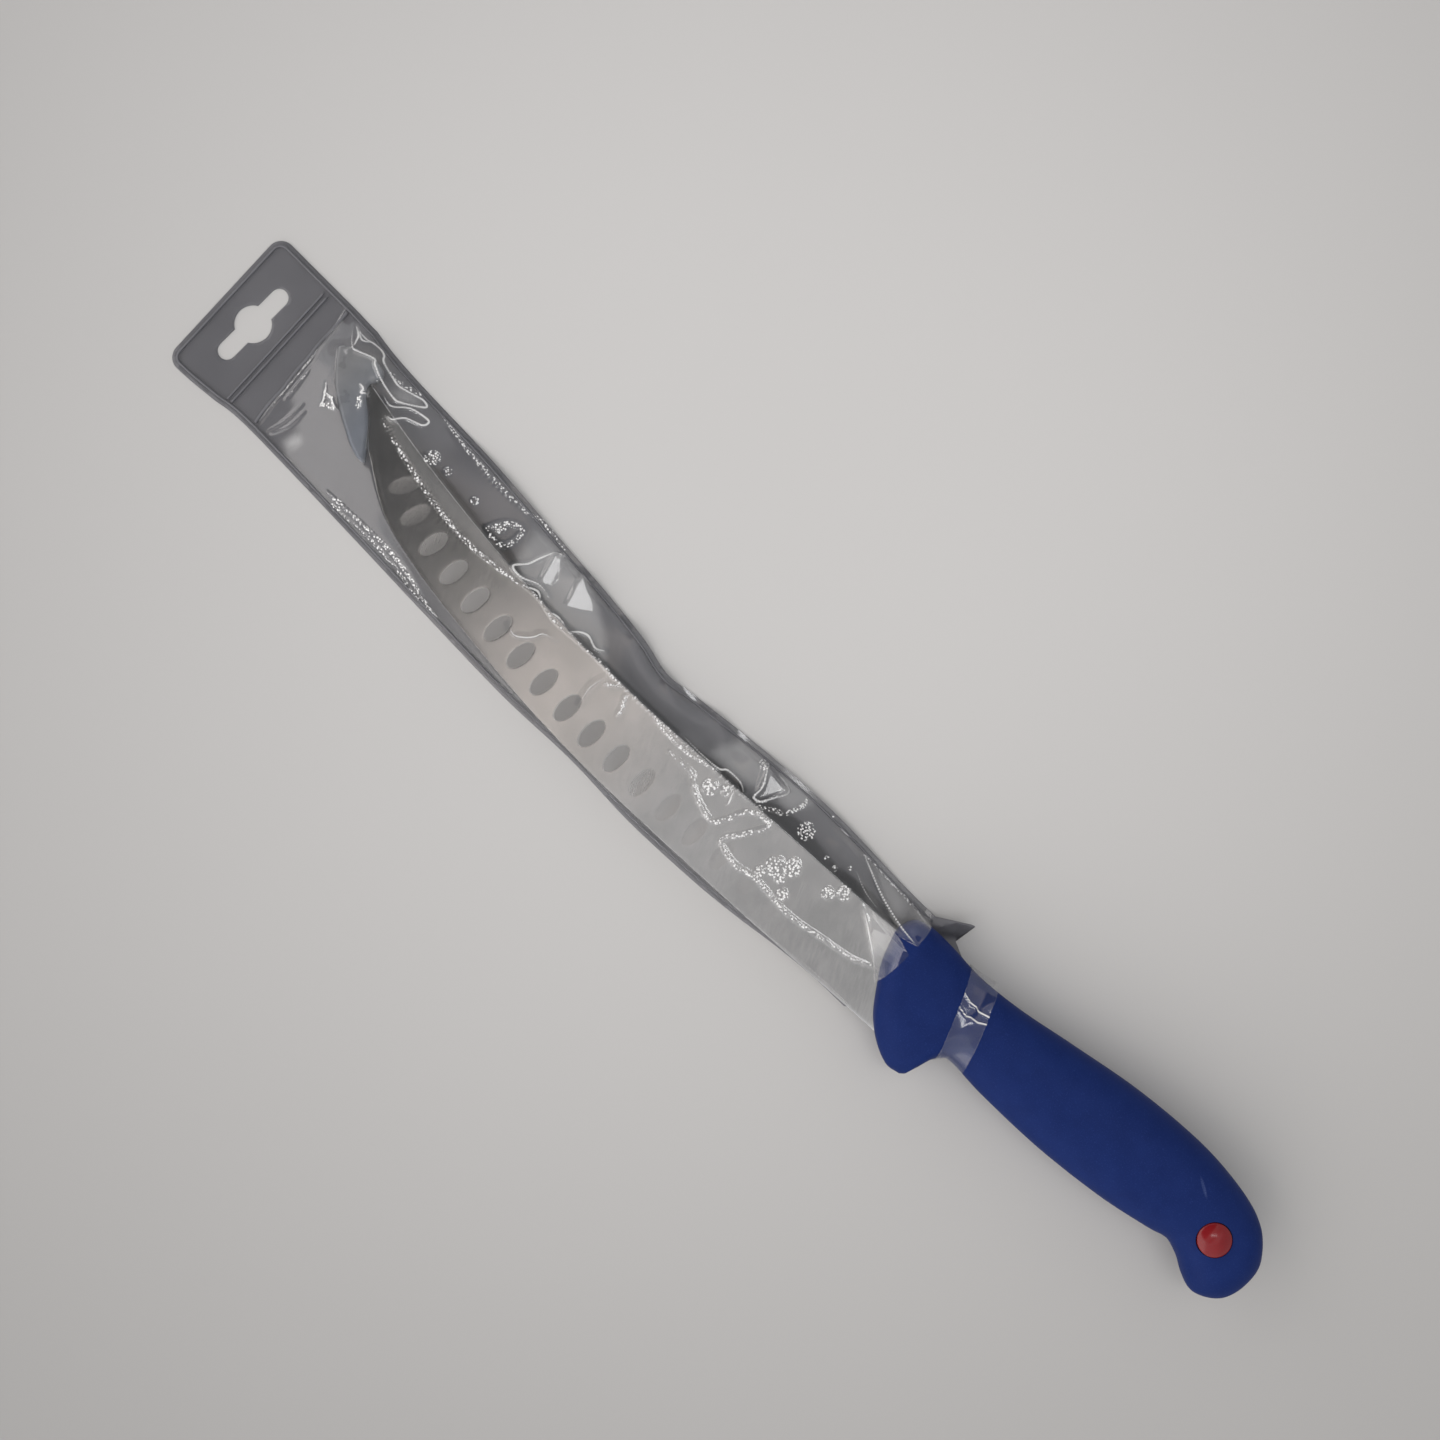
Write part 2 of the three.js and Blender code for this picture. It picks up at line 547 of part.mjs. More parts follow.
const knife = new THREE.Group();
knife.add(piece('blade', makeBlade(), 0xb9b7b2, 0.35, 1));
knife.add(piece('handle', makeHandle(), 0x1c2a62, 0.6, 0));
knife.add(plug);
knife.add(piece('tip_guard', makeTipGuard(), 0x7d828c, 0.4, 0, 0.7));
knife.applyMatrix4(knifeTurn);

const sleeve = new THREE.Group();
sleeve.add(piece('sleeve_back', makeSleeveBack(), 0x6a6a6c, 0.45, 0));
sleeve.add(piece('sleeve_front', makeSleeveFront(), 0xd8d8d8, 0.15, 0, 0.25));
sleeve.add(piece('neck_strap', makeNeckStrap(), 0xd8d8d8, 0.15, 0, 0.25));

// The part stands on its origin, at the middle of its own box in plan.
const part = new THREE.Group();
part.add(knife, sleeve);
const box = new THREE.Box3().setFromObject(part, true);
part.position.set(-half(box.min.x + box.max.x), -half(box.min.y + box.max.y), -box.min.z);

export default part;
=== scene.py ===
# %% [markdown]
# # A butcher knife in its hanging sleeve
#
# The object is a curved knife with a scalloped blade and a moulded blue handle, sold in a long sleeve
# with a grey back sheet and a clear front film. A shoe guards its tip and a clear band ties the sleeve to
# its neck. The solid model gives the frame: every piece made here sits where its solid sits, so the first
# step only loads that frame.

# %% Load the frame
import math

import bmesh
import bpy
import numpy as np
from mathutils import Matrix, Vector
from mathutils.geometry import delaunay_2d_cdt


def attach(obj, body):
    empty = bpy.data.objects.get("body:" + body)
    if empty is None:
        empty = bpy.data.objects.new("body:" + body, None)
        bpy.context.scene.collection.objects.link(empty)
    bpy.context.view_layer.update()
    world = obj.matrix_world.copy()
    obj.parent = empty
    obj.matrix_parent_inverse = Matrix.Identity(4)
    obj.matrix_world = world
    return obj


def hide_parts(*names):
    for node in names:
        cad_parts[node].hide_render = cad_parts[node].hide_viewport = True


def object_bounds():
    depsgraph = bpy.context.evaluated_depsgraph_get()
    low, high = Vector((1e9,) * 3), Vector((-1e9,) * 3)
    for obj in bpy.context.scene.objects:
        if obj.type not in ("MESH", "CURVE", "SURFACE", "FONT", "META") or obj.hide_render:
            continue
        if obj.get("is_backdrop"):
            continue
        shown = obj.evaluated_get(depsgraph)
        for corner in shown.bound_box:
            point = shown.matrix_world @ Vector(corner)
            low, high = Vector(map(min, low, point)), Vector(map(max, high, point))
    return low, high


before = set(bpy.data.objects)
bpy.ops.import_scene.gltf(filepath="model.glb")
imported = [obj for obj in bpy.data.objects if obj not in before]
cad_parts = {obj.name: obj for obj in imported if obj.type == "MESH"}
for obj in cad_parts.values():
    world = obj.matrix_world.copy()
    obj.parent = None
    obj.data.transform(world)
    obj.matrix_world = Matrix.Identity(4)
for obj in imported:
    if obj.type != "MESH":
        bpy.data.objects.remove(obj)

cad_low, cad_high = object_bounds()

# %% [markdown]
# ## Two ways of lying
#
# A knife maker draws a blade flat and measures it in millimetres, so the shapes below are written that
# way, from the point where the spine enters the handle. The sleeve lies flat on the table, but the knife
# is tipped a little, because its palm swell is thicker than its tip. Two small functions carry drawn
# points to their places in metres.

# %% From drawn millimetres to the frame
MM = 0.001
TINY = 1e-6
ENTRY = np.array([73.202, 8.181, 10.358])
LAY = math.radians(1.3756)
KNIFE_TURN = np.array([
    [math.cos(LAY), 0, -math.sin(LAY)],
    [0, 1, 0],
    [math.sin(LAY), 0, math.cos(LAY)],
])


def on_table(points):
    return (np.asarray(points, float).reshape(-1, 3) + ENTRY * [1, 1, 0]) * MM


def on_knife(points):
    return (np.asarray(points, float).reshape(-1, 3) @ KNIFE_TURN.T + ENTRY) * MM


def knife_middle(x):
    return ENTRY[2] + np.asarray(x) * math.tan(LAY)


print("the knife's middle is", round(float(knife_middle(-260)), 2), "mm up at the tip")

# %% [markdown]
# ## Lines, grids and meshes
#
# Most of the pieces are skins over a grid: rows of points along the knife, columns across it. A smooth
# line through a few given points gives each outline, and one function turns a grid into faces.
# Working on whole grids at once with numpy keeps a fine mesh quick to make.

# %% Smooth lines
def smooth_points(points, steps=24):
    """A Catmull-Rom line through the points, with this many steps to each stretch."""
    points = np.array(points, float)
    padded = np.vstack([points[:1], points, points[-1:]])
    t = np.linspace(0, 1, steps, endpoint=False)[:, None]
    stretches = []
    for a, b, c, d in zip(padded, padded[1:], padded[2:], padded[3:]):
        cubic = (-a + 3 * b - 3 * c + d) * t ** 3
        square = (2 * a - 5 * b + 4 * c - d) * t ** 2
        stretches.append((2 * b + (c - a) * t + square + cubic) / 2)
    return np.vstack(stretches + [points[-1:]])


def smooth_line(points):
    """The same line as a function of its first coordinate."""
    line = smooth_points(points)
    return lambda x: np.interp(x, line[:, 0], line[:, 1])


def smoothstep(value, low, high):
    share = np.clip((np.asarray(value, float) - low) / (high - low), 0, 1)
    return share * share * (3 - 2 * share)


def mix(a, b, share):
    return a + (b - a) * share


print("a smooth line halfway up:", float(smooth_line([[0, 0], [1, 1], [2, 0]])(0.5)))

# %% Faces over grids
def grid_faces(rows, columns, wrap=False):
    """Quads over a grid of points that is stored row by row."""
    across = columns if wrap else columns - 1
    r, c = np.meshgrid(np.arange(rows - 1), np.arange(across), indexing="ij")
    after = (c + 1) % columns
    quads = [r * columns + c, r * columns + after, (r + 1) * columns + after, (r + 1) * columns + c]
    return np.stack(quads, -1).reshape(-1, 4).tolist()


def cap_faces(first, count):
    """Strips that close a ring whose points go out along one side and back along the other."""
    return [
        [first + i, first + i + 1, first + count - 2 - i, first + count - 1 - i]
        for i in range(count // 2 - 1)
    ]


def closed_faces(rows, columns):
    """The faces of a skin over rings, with both ends closed."""
    last = (rows - 1) * columns
    return grid_faces(rows, columns, wrap=True) + cap_faces(0, columns) + cap_faces(last, columns)


print("a grid of 3 by 4 points has", len(grid_faces(3, 4)), "faces")

# %% Pieces from points and faces
SHARP_DEGREES = 35
SAME_POINT = 1e-7


def new_piece(name, points, faces, sharp_degrees=SHARP_DEGREES, **marks):
    """A smooth object that is sharp where its faces bend past an angle, with named marks at its points."""
    mesh = bpy.data.meshes.new(name)
    mesh.from_pydata(np.asarray(points).tolist(), [], faces)
    for mark, values in marks.items():
        layer = mesh.attributes.new(mark, "FLOAT", "POINT")
        layer.data.foreach_set("value", np.ravel(values).astype(np.float32))
    cleaned = bmesh.new()
    cleaned.from_mesh(mesh)
    bmesh.ops.remove_doubles(cleaned, verts=cleaned.verts, dist=SAME_POINT)
    bmesh.ops.recalc_face_normals(cleaned, faces=cleaned.faces)
    cleaned.to_mesh(mesh)
    cleaned.free()
    mesh.polygons.foreach_set("use_smooth", [True] * len(mesh.polygons))
    mesh.set_sharp_from_angle(angle=math.radians(sharp_degrees))
    piece = bpy.data.objects.new(name, mesh)
    bpy.context.scene.collection.objects.link(piece)
    return piece


def shape_now(piece):
    """The piece's mesh as its modifiers leave it."""
    bpy.context.view_layer.update()
    return bpy.data.meshes.new_from_object(piece.evaluated_get(bpy.context.evaluated_depsgraph_get()))


print("edges that bend past", SHARP_DEGREES, "degrees stay sharp")

# %% Cut, thicken and dress a piece
def cut(piece, cutter, sharp_degrees=SHARP_DEGREES):
    """Cuts one piece with another, and takes the cutter away."""
    modifier = piece.modifiers.new("cut", "BOOLEAN")
    modifier.object = cutter
    modifier.solver = "EXACT"
    shape = shape_now(piece)
    piece.modifiers.remove(modifier)
    piece.data = shape
    bpy.data.objects.remove(cutter)
    shape.set_sharp_from_angle(angle=math.radians(sharp_degrees))


def thicken(piece, thickness):
    """Gives a sheet its thickness, on its upper side."""
    modifier = piece.modifiers.new("thickness", "SOLIDIFY")
    modifier.thickness = thickness * MM
    modifier.offset = 1
    shape = shape_now(piece)
    piece.modifiers.clear()
    piece.data = shape


def dress(piece, body, node, material):
    """Puts the finish on, and makes the piece stand for its solid."""
    piece.data.materials.clear()
    piece.data.materials.append(material)
    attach(piece, body)
    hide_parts(node)
    print(piece.name, "stands for", node, "with", len(piece.data.polygons), "faces")


# %% [markdown]
# ## Finishes
#
# A Blender finish is a small tree of nodes. Each finish here reads Object coordinates, which stay fixed
# to the piece when it moves, and adds the marks that the real surface has. The class below only shortens
# the typing: it makes a node, sets its values and joins its inputs.

# %% A short way to write a finish
class Finish:
    """A finish in the making: the nodes of a material, or of the world."""

    def __init__(self, name, world=None):
        self.material = None
        if world is None:
            self.material = bpy.data.materials.new(name)
            self.material.use_nodes = True
        self.tree = (world or self.material).node_tree
        self.tree.nodes.clear()

    def node(self, kind, inputs=None, **settings):
        made = self.tree.nodes.new(kind)
        for key, value in settings.items():
            setattr(made, key, value)
        for key, value in (inputs or {}).items():
            if isinstance(value, bpy.types.NodeSocket):
                self.tree.links.new(value, made.inputs[key])
            else:
                made.inputs[key].default_value = value
        return made

    def place(self):
        """Object coordinates in metres."""
        return self.node("ShaderNodeTexCoord").outputs["Object"]

    def patch(self, size, turn, middle=(0, 0, 0)):
        """Object coordinates as a turned patch sees them, with its middle at 0 and its size as 1."""
        inputs = {
            "Vector": self.place(), "Location": tuple(middle), "Rotation": (0, 0, turn), "Scale": size,
        }
        return self.node("ShaderNodeMapping", inputs, vector_type="TEXTURE").outputs["Vector"]

    def noise(self, scale, detail=3.0, place=None):
        inputs = {"Vector": self.place() if place is None else place, "Scale": scale, "Detail": detail}
        return self.node("ShaderNodeTexNoise", inputs).outputs["Fac"]

    def mark(self, name):
        """A mark that the mesh carries at each point."""
        return self.node("ShaderNodeAttribute", attribute_name=name).outputs["Fac"]

    def ramp(self, value, low, high, first=0.0, last=1.0, kind="LINEAR"):
        inputs = {"Value": value, "From Min": low, "From Max": high, "To Min": first, "To Max": last}
        return self.node("ShaderNodeMapRange", inputs, interpolation_type=kind).outputs["Result"]

    def eased(self, value, low, high, first=0.0, last=1.0):
        """A ramp that starts and ends gently."""
        return self.ramp(value, low, high, first, last, "SMOOTHSTEP")

    def spread(self, noise, first=0.0, last=1.0):
        """The middle of a noise, where most of it lies, as other values."""
        return self.ramp(noise, 0.3, 0.7, first, last)

    def math(self, operation, a, b):
        return self.node("ShaderNodeMath", {0: a, 1: b}, operation=operation).outputs[0]

    def plus(self, a, b):
        return self.math("ADD", a, b)

    def times(self, a, b):
        return self.math("MULTIPLY", a, b)

    def tint(self, share, first, last):
        """A colour between two, each a linear triple or a socket."""
        ends = [end if isinstance(end, bpy.types.NodeSocket) else (*end, 1) for end in (first, last)]
        return self.node("ShaderNodeMix", {0: share, 6: ends[0], 7: ends[1]}, data_type="RGBA").outputs[2]

    def bump(self, height, distance, strength=1.0):
        inputs = {"Height": height, "Distance": distance, "Strength": strength}
        return self.node("ShaderNodeBump", inputs).outputs["Normal"]

    def principled(self, **inputs):
        named = {key.replace("_", " "): value for key, value in inputs.items()}
        return self.node("ShaderNodeBsdfPrincipled", named)

    def done(self, shader, kind="ShaderNodeOutputMaterial"):
        self.tree.links.new(shader.outputs[0], self.node(kind).inputs["Surface"])
        return self.material


def srgb(red, green, blue):
    """A colour as it is picked by eye, from 0 to 255, as the linear light that a shader takes."""
    shares = np.array([red, green, blue]) / 255
    linear = np.where(shares < 0.04045, shares / 12.92, ((shares + 0.055) / 1.055) ** 2.4)
    return tuple(linear.tolist())


print("a middle grey in linear light:", round(srgb(128, 128, 128)[0], 3))

# %% [markdown]
# ## The camera
#
# The photograph looks straight down, with the knife along its diagonal. The camera hangs half a metre
# over the table, turned by 45 degrees, because the frame's X runs along the knife.

# %% Camera
CAMERA_PLACE = (-0.0154, 0.0160, 0.520)
CAMERA_LENS, SENSOR_WIDTH = 39.2, 36
PICTURE_TURN = math.radians(45)

camera = bpy.data.objects.new("camera", bpy.data.cameras.new("camera"))
camera.data.lens = CAMERA_LENS
camera.data.sensor_width = SENSOR_WIDTH
camera.location = CAMERA_PLACE
camera.rotation_euler = (0, 0, PICTURE_TURN)
bpy.context.scene.collection.objects.link(camera)
bpy.context.scene.camera = camera
bpy.context.scene.view_settings.view_transform = "Standard"
print("camera height", round(camera.location.z, 3), "m")

# %% [markdown]
# ## The blade's lines
#
# The spine falls straight from the handle and then rises in one long arc to the tip. The edge is drawn by
# its depth below the spine. Both are functions of the distance along the knife, so the scallops, the tip
# guard and the sleeve can all be set from them.

# %% Spine and edge
BLADE_LENGTH = 260
BLADE_DEPTH = 29.2
SPINE_FALL = math.radians(3.3)
SPINE_STRAIGHT = 96
SPINE_RADIUS = 605
TIP_BLUNT = 0.5
EDGE_LINE = smooth_line([
    [-16, 100], [0, 100], [15, 100.7], [34, 98.6], [50, 93.5], [64, 87.7], [73, 84.2], [80.7, 77.7],
    [84.5, 67.5], [89.2, 47.6], [93, 35], [97, 18], [100, 0],
])
ARC_X = -SPINE_STRAIGHT - SPINE_RADIUS * math.sin(SPINE_FALL)
ARC_Y = -SPINE_STRAIGHT * math.tan(SPINE_FALL) + SPINE_RADIUS * math.cos(SPINE_FALL)


def spine_at(x):
    x = np.asarray(x, float)
    arc = ARC_Y - np.sqrt(np.maximum(SPINE_RADIUS ** 2 - (x - ARC_X) ** 2, 0))
    return np.where(x > -SPINE_STRAIGHT, x * math.tan(SPINE_FALL), arc)


def edge_at(x):
    depth = BLADE_DEPTH * EDGE_LINE(-100 * np.asarray(x, float) / BLADE_LENGTH) / 100
    return spine_at(x) - np.maximum(depth, TIP_BLUNT)


TIP = np.array([-BLADE_LENGTH, float(spine_at(-BLADE_LENGTH))])
print("the tip stands", round(TIP[1], 2), "mm above the spine's entry")

# %% [markdown]
# ## The handle's form
#
# The handle is moulded plastic: a finger guard at the front, a waisted neck, a palm swell and a hooked
# butt. It is a skin over rings, each a squared oval between the top and bottom lines, and it rounds off
# at both ends like a bar of soap. The lines come before the blade, because the tang runs along the
# handle's middle.

# %% Handle lines
HANDLE_LENGTH = 159.2
SECTION_POWER = 2.4
NOSE_ROUND, BUTT_ROUND = 9, 11
PALM_AT = 99
HANDLE_TOP = smooth_line([
    [0, -0.5], [0.5, 4], [1.5, 6.8], [3.3, 8.4], [6.3, 9.1], [11.4, 9.1], [19.5, 8.6], [29.7, 10.4],
    [41.9, 14.3], [58.2, 19.1], [74.4, 21.2], [86.6, 19.6], [93.7, 15.9], [98.4, 8.8], [99.7, 4],
    [100, 0.5],
])
HANDLE_BOTTOM = smooth_line([
    [0, -0.5], [0.7, -3.6], [2.5, -10.6], [5.3, -17.4], [9, -24.9], [13.4, -30.2], [17.5, -32.9],
    [20, -32.5], [21.6, -31], [22.8, -23.6], [24.2, -19.7], [26.6, -17.6], [35.8, -18.1], [51, -17.3],
    [66.3, -14.4], [77.5, -10.6], [82.3, -8.5], [86.6, -10.2], [90.3, -13.4], [93.7, -14.7], [97.7, -11],
    [99.6, -5.1], [100, 0.5],
])
HANDLE_THICK = smooth_line([[0, 18.6], [9, 18.6], [26, 19.4], [62, 25.4], [92, 21], [100, 21]])


def handle_lines(x):
    """Top, bottom and half thickness of the handle at a distance from the spine's entry."""
    percent = 100 * np.asarray(x, float) / HANDLE_LENGTH
    from_nose = np.clip(x / NOSE_ROUND, 0, 1)
    from_butt = np.clip((HANDLE_LENGTH - x) / BUTT_ROUND, 0, 1)
    rounding = np.sqrt(1 - (1 - from_nose) ** 2) * np.sqrt(1 - (1 - from_butt) ** 2)
    return HANDLE_TOP(percent), HANDLE_BOTTOM(percent), HANDLE_THICK(percent) / 2 * rounding


def ring_shares(sides):
    """How far across and how far out the points of a squared oval lie, each from -1 to 1."""
    angle = 2 * np.pi * (np.arange(sides) + 0.5) / sides - np.pi / 2
    power = 2 / SECTION_POWER
    across = np.sign(np.sin(angle)) * np.abs(np.sin(angle)) ** power
    out = np.sign(np.cos(angle)) * np.abs(np.cos(angle)) ** power
    return across, out


def handle_skin(x, across, out, gap=0.0):
    """Points on the handle at given distances and shares, moved outwards by a gap."""
    top, bottom, half = handle_lines(x)
    y = (top + bottom) / 2 + ((top - bottom) / 2 + gap) * across
    return np.stack(np.broadcast_arrays(x, y, (half + gap) * out), -1)


print("palm thickness", round(float(2 * handle_lines(PALM_AT)[2]), 1), "mm")

# %% [markdown]
# ## The blade
#
# The real blade is ground steel: a taper from spine to edge, a narrow bevel, and a row of hollow scallops
# in each face that let sliced meat fall away. Cutting thirty-four hollows with booleans would leave
# ragged shading. Here the face is a fine grid and each hollow is a shallow bowl taken off the grid's
# thickness, so its floor shades smoothly. Every point also keeps two marks for the finish: how deep in a
# hollow it lies, and how strongly the hollows are cut there. The tang goes on into the handle.

# %% Blade sections
SPINE_STOCK, TIP_STOCK, BEVEL_STOCK, EDGE_STOCK = 2.6, 1.4, 0.7, 0.2
BEVEL_HEIGHT = 1.4
SPINE_EASE = 0.3
TANG_LENGTH, TANG_FRONT, TANG_END = 120, 14, 9
HEEL_INSIDE, SHOULDER_RUN = 22, 9


def blade_section(x):
    """Top and bottom lines and the half thicknesses of the blade and its tang."""
    inside = smoothstep(x, HEEL_INSIDE, HEEL_INSIDE + SHOULDER_RUN)
    handle_top, handle_bottom, _ = handle_lines(np.clip(x, 0, HANDLE_LENGTH))
    middle = (handle_top + handle_bottom) / 2
    tang_half = mix(TANG_FRONT, TANG_END, np.clip(x / TANG_LENGTH, 0, 1)) / 2
    top = mix(spine_at(x), middle + tang_half, inside)
    bottom = mix(edge_at(x), middle - tang_half, inside)
    spine_half = mix(SPINE_STOCK, TIP_STOCK, np.clip(-x / BLADE_LENGTH, 0, 1)) / 2
    bevel_half, edge_half = (mix(stock / 2, spine_half, inside) for stock in (BEVEL_STOCK, EDGE_STOCK))
    return top, bottom, spine_half, bevel_half, edge_half


print("heel depth:", round(float(spine_at(0.0) - edge_at(0.0)), 1), "mm")

# %% Scallops
SCALLOP_COUNT, SCALLOP_PITCH, SCALLOP_FROM_TIP = 17, 11.75, 39
SCALLOP_WIDTH, SCALLOP_HEIGHT, SCALLOP_DEPTH, SCALLOP_ABOVE_EDGE = 5.6, 11.4, 0.22, 9.3
# How strongly the hollows are cut along the blade: fully in the middle of the row and faintly at its ends
CUT_AT, CUT_SHARE = [-205, -160, -113, -92, -50], [0.3, 1, 1, 0.35, 0.15]


def cut_strength(x):
    return np.interp(x, CUT_AT, CUT_SHARE)


def scallop_marks(x, y, shift):
    """One face's scallops: 0 outside them, up to 1 in the middle of each."""
    marks = np.zeros_like(x)
    for i in range(SCALLOP_COUNT):
        at = -BLADE_LENGTH + SCALLOP_FROM_TIP + (i + shift) * SCALLOP_PITCH
        along = np.array([2.0, float(edge_at(at + 1) - edge_at(at - 1))])
        along /= np.linalg.norm(along)
        centre = np.array([at, float(edge_at(at))]) + SCALLOP_ABOVE_EDGE * np.array([-along[1], along[0]])
        lengthwise = ((x - centre[0]) * along[0] + (y - centre[1]) * along[1]) / (SCALLOP_WIDTH / 2)
        crosswise = ((y - centre[1]) * along[0] - (x - centre[0]) * along[1]) / (SCALLOP_HEIGHT / 2)
        marks = np.maximum(marks, 1 - lengthwise ** 2 - crosswise ** 2)
    return marks


print(SCALLOP_COUNT, "scallops on each face, cut by", cut_strength([-205, -113, -50]), "along the row")

# %% Blade mesh
BLADE_STEPS, TANG_STEPS, FACE_STEPS = 530, 39, 58
# The fine stations end just inside the handle's nose
FINE_END, TANG_START = 4, 6


def blade_rings(stations, across, gap=0.0):
    """Points round the blade, up its front and down its back, with their marks."""
    top, bottom, spine_half, bevel_half, edge_half = (line[:, None] for line in blade_section(stations))
    height = top - bottom
    bevel = np.minimum(BEVEL_HEIGHT, height / 2)
    ease = np.minimum(SPINE_EASE, height / 4)
    face = np.linspace(0, 1, across)[None, :]
    y = np.hstack([bottom - gap, mix(bottom + bevel, top - ease, face), top + gap])
    thick = mix(bevel_half, spine_half, (y - bottom - bevel) / np.maximum(height - bevel, TINY))
    thick[:, :1] = edge_half
    thick[:, -1:] = spine_half - ease
    x = np.broadcast_to(stations[:, None], y.shape)
    sides, marks = [], []
    for side, shift in ((1, 0), (-1, 0.5)):
        mark = scallop_marks(x, y, shift)
        hollow = 0 if gap else SCALLOP_DEPTH * mark * cut_strength(x)
        sides.append(np.stack([x, y, side * (thick - hollow + gap)], -1)[:, ::side])
        marks.append(mark[:, ::side])
    return np.concatenate(sides, axis=1), np.concatenate(marks, axis=1)


def blade_piece(name, stations, across, gap=0.0):
    rings, marks = blade_rings(stations, across, gap)
    faces = closed_faces(*rings.shape[:2])
    return new_piece(name, on_knife(rings), faces, hollow=marks, cut=cut_strength(rings[..., 0]))


blade_stations = np.concatenate([
    np.linspace(-BLADE_LENGTH, FINE_END, BLADE_STEPS),
    np.linspace(TANG_START, TANG_LENGTH, TANG_STEPS),
])
blade = blade_piece("blade_steel", blade_stations, FACE_STEPS)
print("blade grid:", len(blade_stations), "stations")

# %% [markdown]
# ## Satin steel
#
# The blade was finished on a belt that ran from edge to spine, which leaves fine lines across its length.
# Such lines spread a reflection along the blade and not across it, which a shader calls anisotropy. It
# needs a direction, so the mesh gets a UV map that runs along the blade. The more a point's two marks
# say, the rougher and the darker the steel is there.

# %% Steel finish
GRIND_TURN = math.radians(25)
GRIND_SIZE = (0.0005, 0.006, 0.006)
HOLLOW_RIM, HOLLOW_ROUGH = 0.15, 0.38
LINE_SHARE, CLOUD_SHARE = 0.3, 0.7


def lay_uv(piece):
    """A flat UV map of the piece in plan, in millimetres."""
    mesh = piece.data
    points = np.empty(3 * len(mesh.vertices))
    mesh.vertices.foreach_get("co", points)
    corners = np.empty(len(mesh.loops), int)
    mesh.loops.foreach_get("vertex_index", corners)
    plan = points.reshape(-1, 3)[corners, :2] / MM
    mesh.uv_layers.new(name="along").data.foreach_set("uv", plan.ravel())


def steel_finish():
    f = Finish("satin_steel")
    lines = f.noise(1.0, place=f.patch(GRIND_SIZE, GRIND_TURN))
    hollow = f.times(f.ramp(f.mark("hollow"), 0, HOLLOW_RIM), f.mark("cut"))
    mottle = f.plus(f.times(lines, LINE_SHARE), f.times(f.noise(70), CLOUD_SHARE))
    face = f.tint(f.ramp(mottle, 0.36, 0.64), srgb(196, 196, 196), srgb(214, 213, 213))
    ground = f.tint(f.noise(28, detail=2), srgb(154, 153, 153), srgb(161, 160, 160))
    rough = f.plus(f.spread(lines, 0.10, 0.15), f.times(hollow, HOLLOW_ROUGH))
    tangent = f.node("ShaderNodeTangent", direction_type="UV_MAP", uv_map="along").outputs[0]
    shader = f.principled(
        Base_Color=f.tint(hollow, face, ground), Metallic=1.0, Roughness=rough, Anisotropic=0.5,
        Tangent=tangent, Normal=f.bump(lines, 0.000004),
    )
    return f.done(shader)


lay_uv(blade)
dress(blade, "knife", "blade", steel_finish())

# %% [markdown]
# ## The handle and its plug seat
#
# The rings crowd towards the ends, where the form turns quickly. The round seat for the end plug is cut
# afterwards with a boolean: it is the one hole that shows, as a dark ring round the red plug.

# %% Handle mesh
PLUG_DIAMETER, PLUG_DOME, PLUG_DEPTH, PLUG_GAP = 11, 1.7, 6, 0.3
PLUG_FROM_BUTT, PLUG_SIDE = 20.7, 2.1
PLUG_X = HANDLE_LENGTH - PLUG_FROM_BUTT
PLUG_SEAT = float(handle_lines(PLUG_X)[2]) - PLUG_DEPTH
SEAT_TOP = 20
ROUND_SIDES = 64
HANDLE_RINGS, HANDLE_SIDES = 190, 88
# The share of the length at which the first and last rings stand in from the ends
END_SHARE = 0.0004


def crowded(first, last, count):
    return mix(first, last, (1 - np.cos(np.linspace(0, np.pi, count))) / 2)


def turned(profile):
    """A turned solid at the plug's place: a profile of radius and height, spun about an upright axis."""
    profile = np.array(profile, float)
    angle = np.linspace(0, 2 * np.pi, ROUND_SIDES, endpoint=False)
    x = PLUG_X + profile[:, :1] * np.cos(angle)
    y = PLUG_SIDE + profile[:, :1] * np.sin(angle)
    z = np.broadcast_to(profile[:, 1:], x.shape)
    return on_knife(np.stack([x, y, z], -1)), grid_faces(len(profile), ROUND_SIDES, wrap=True)


def handle_piece():
    stations = crowded(END_SHARE * HANDLE_LENGTH, (1 - END_SHARE) * HANDLE_LENGTH, HANDLE_RINGS)[:, None]
    rings = handle_skin(stations, *ring_shares(HANDLE_SIDES))
    made = new_piece("handle_grip", on_knife(rings), closed_faces(HANDLE_RINGS, HANDLE_SIDES))
    radius = PLUG_DIAMETER / 2 + PLUG_GAP
    seat = [[0, PLUG_SEAT], [radius, PLUG_SEAT], [radius, SEAT_TOP], [0, SEAT_TOP]]
    cut(made, new_piece("plug_cutter", *turned(seat)))
    return made


handle = handle_piece()
print("plug seat is", round(PLUG_SEAT, 2), "mm above the knife's middle")

# %% [markdown]
# ## Moulded blue plastic
#
# The handle has the fine even grain of a spark-eroded mould and hardly any gloss. A small noise gives the
# grain, a larger one keeps the blue from being flat, and one pale rub near the butt is where something
# has scraped it. A mapping node of the texture kind lays a long oval at the rub's place and angle.

# %% Handle finish
RUB_PLACE = on_table([124, 11.4, 0])[0]
RUB_SIZE = (0.0040, 0.0007, 1.0)
RUB_TURN = math.radians(-31)


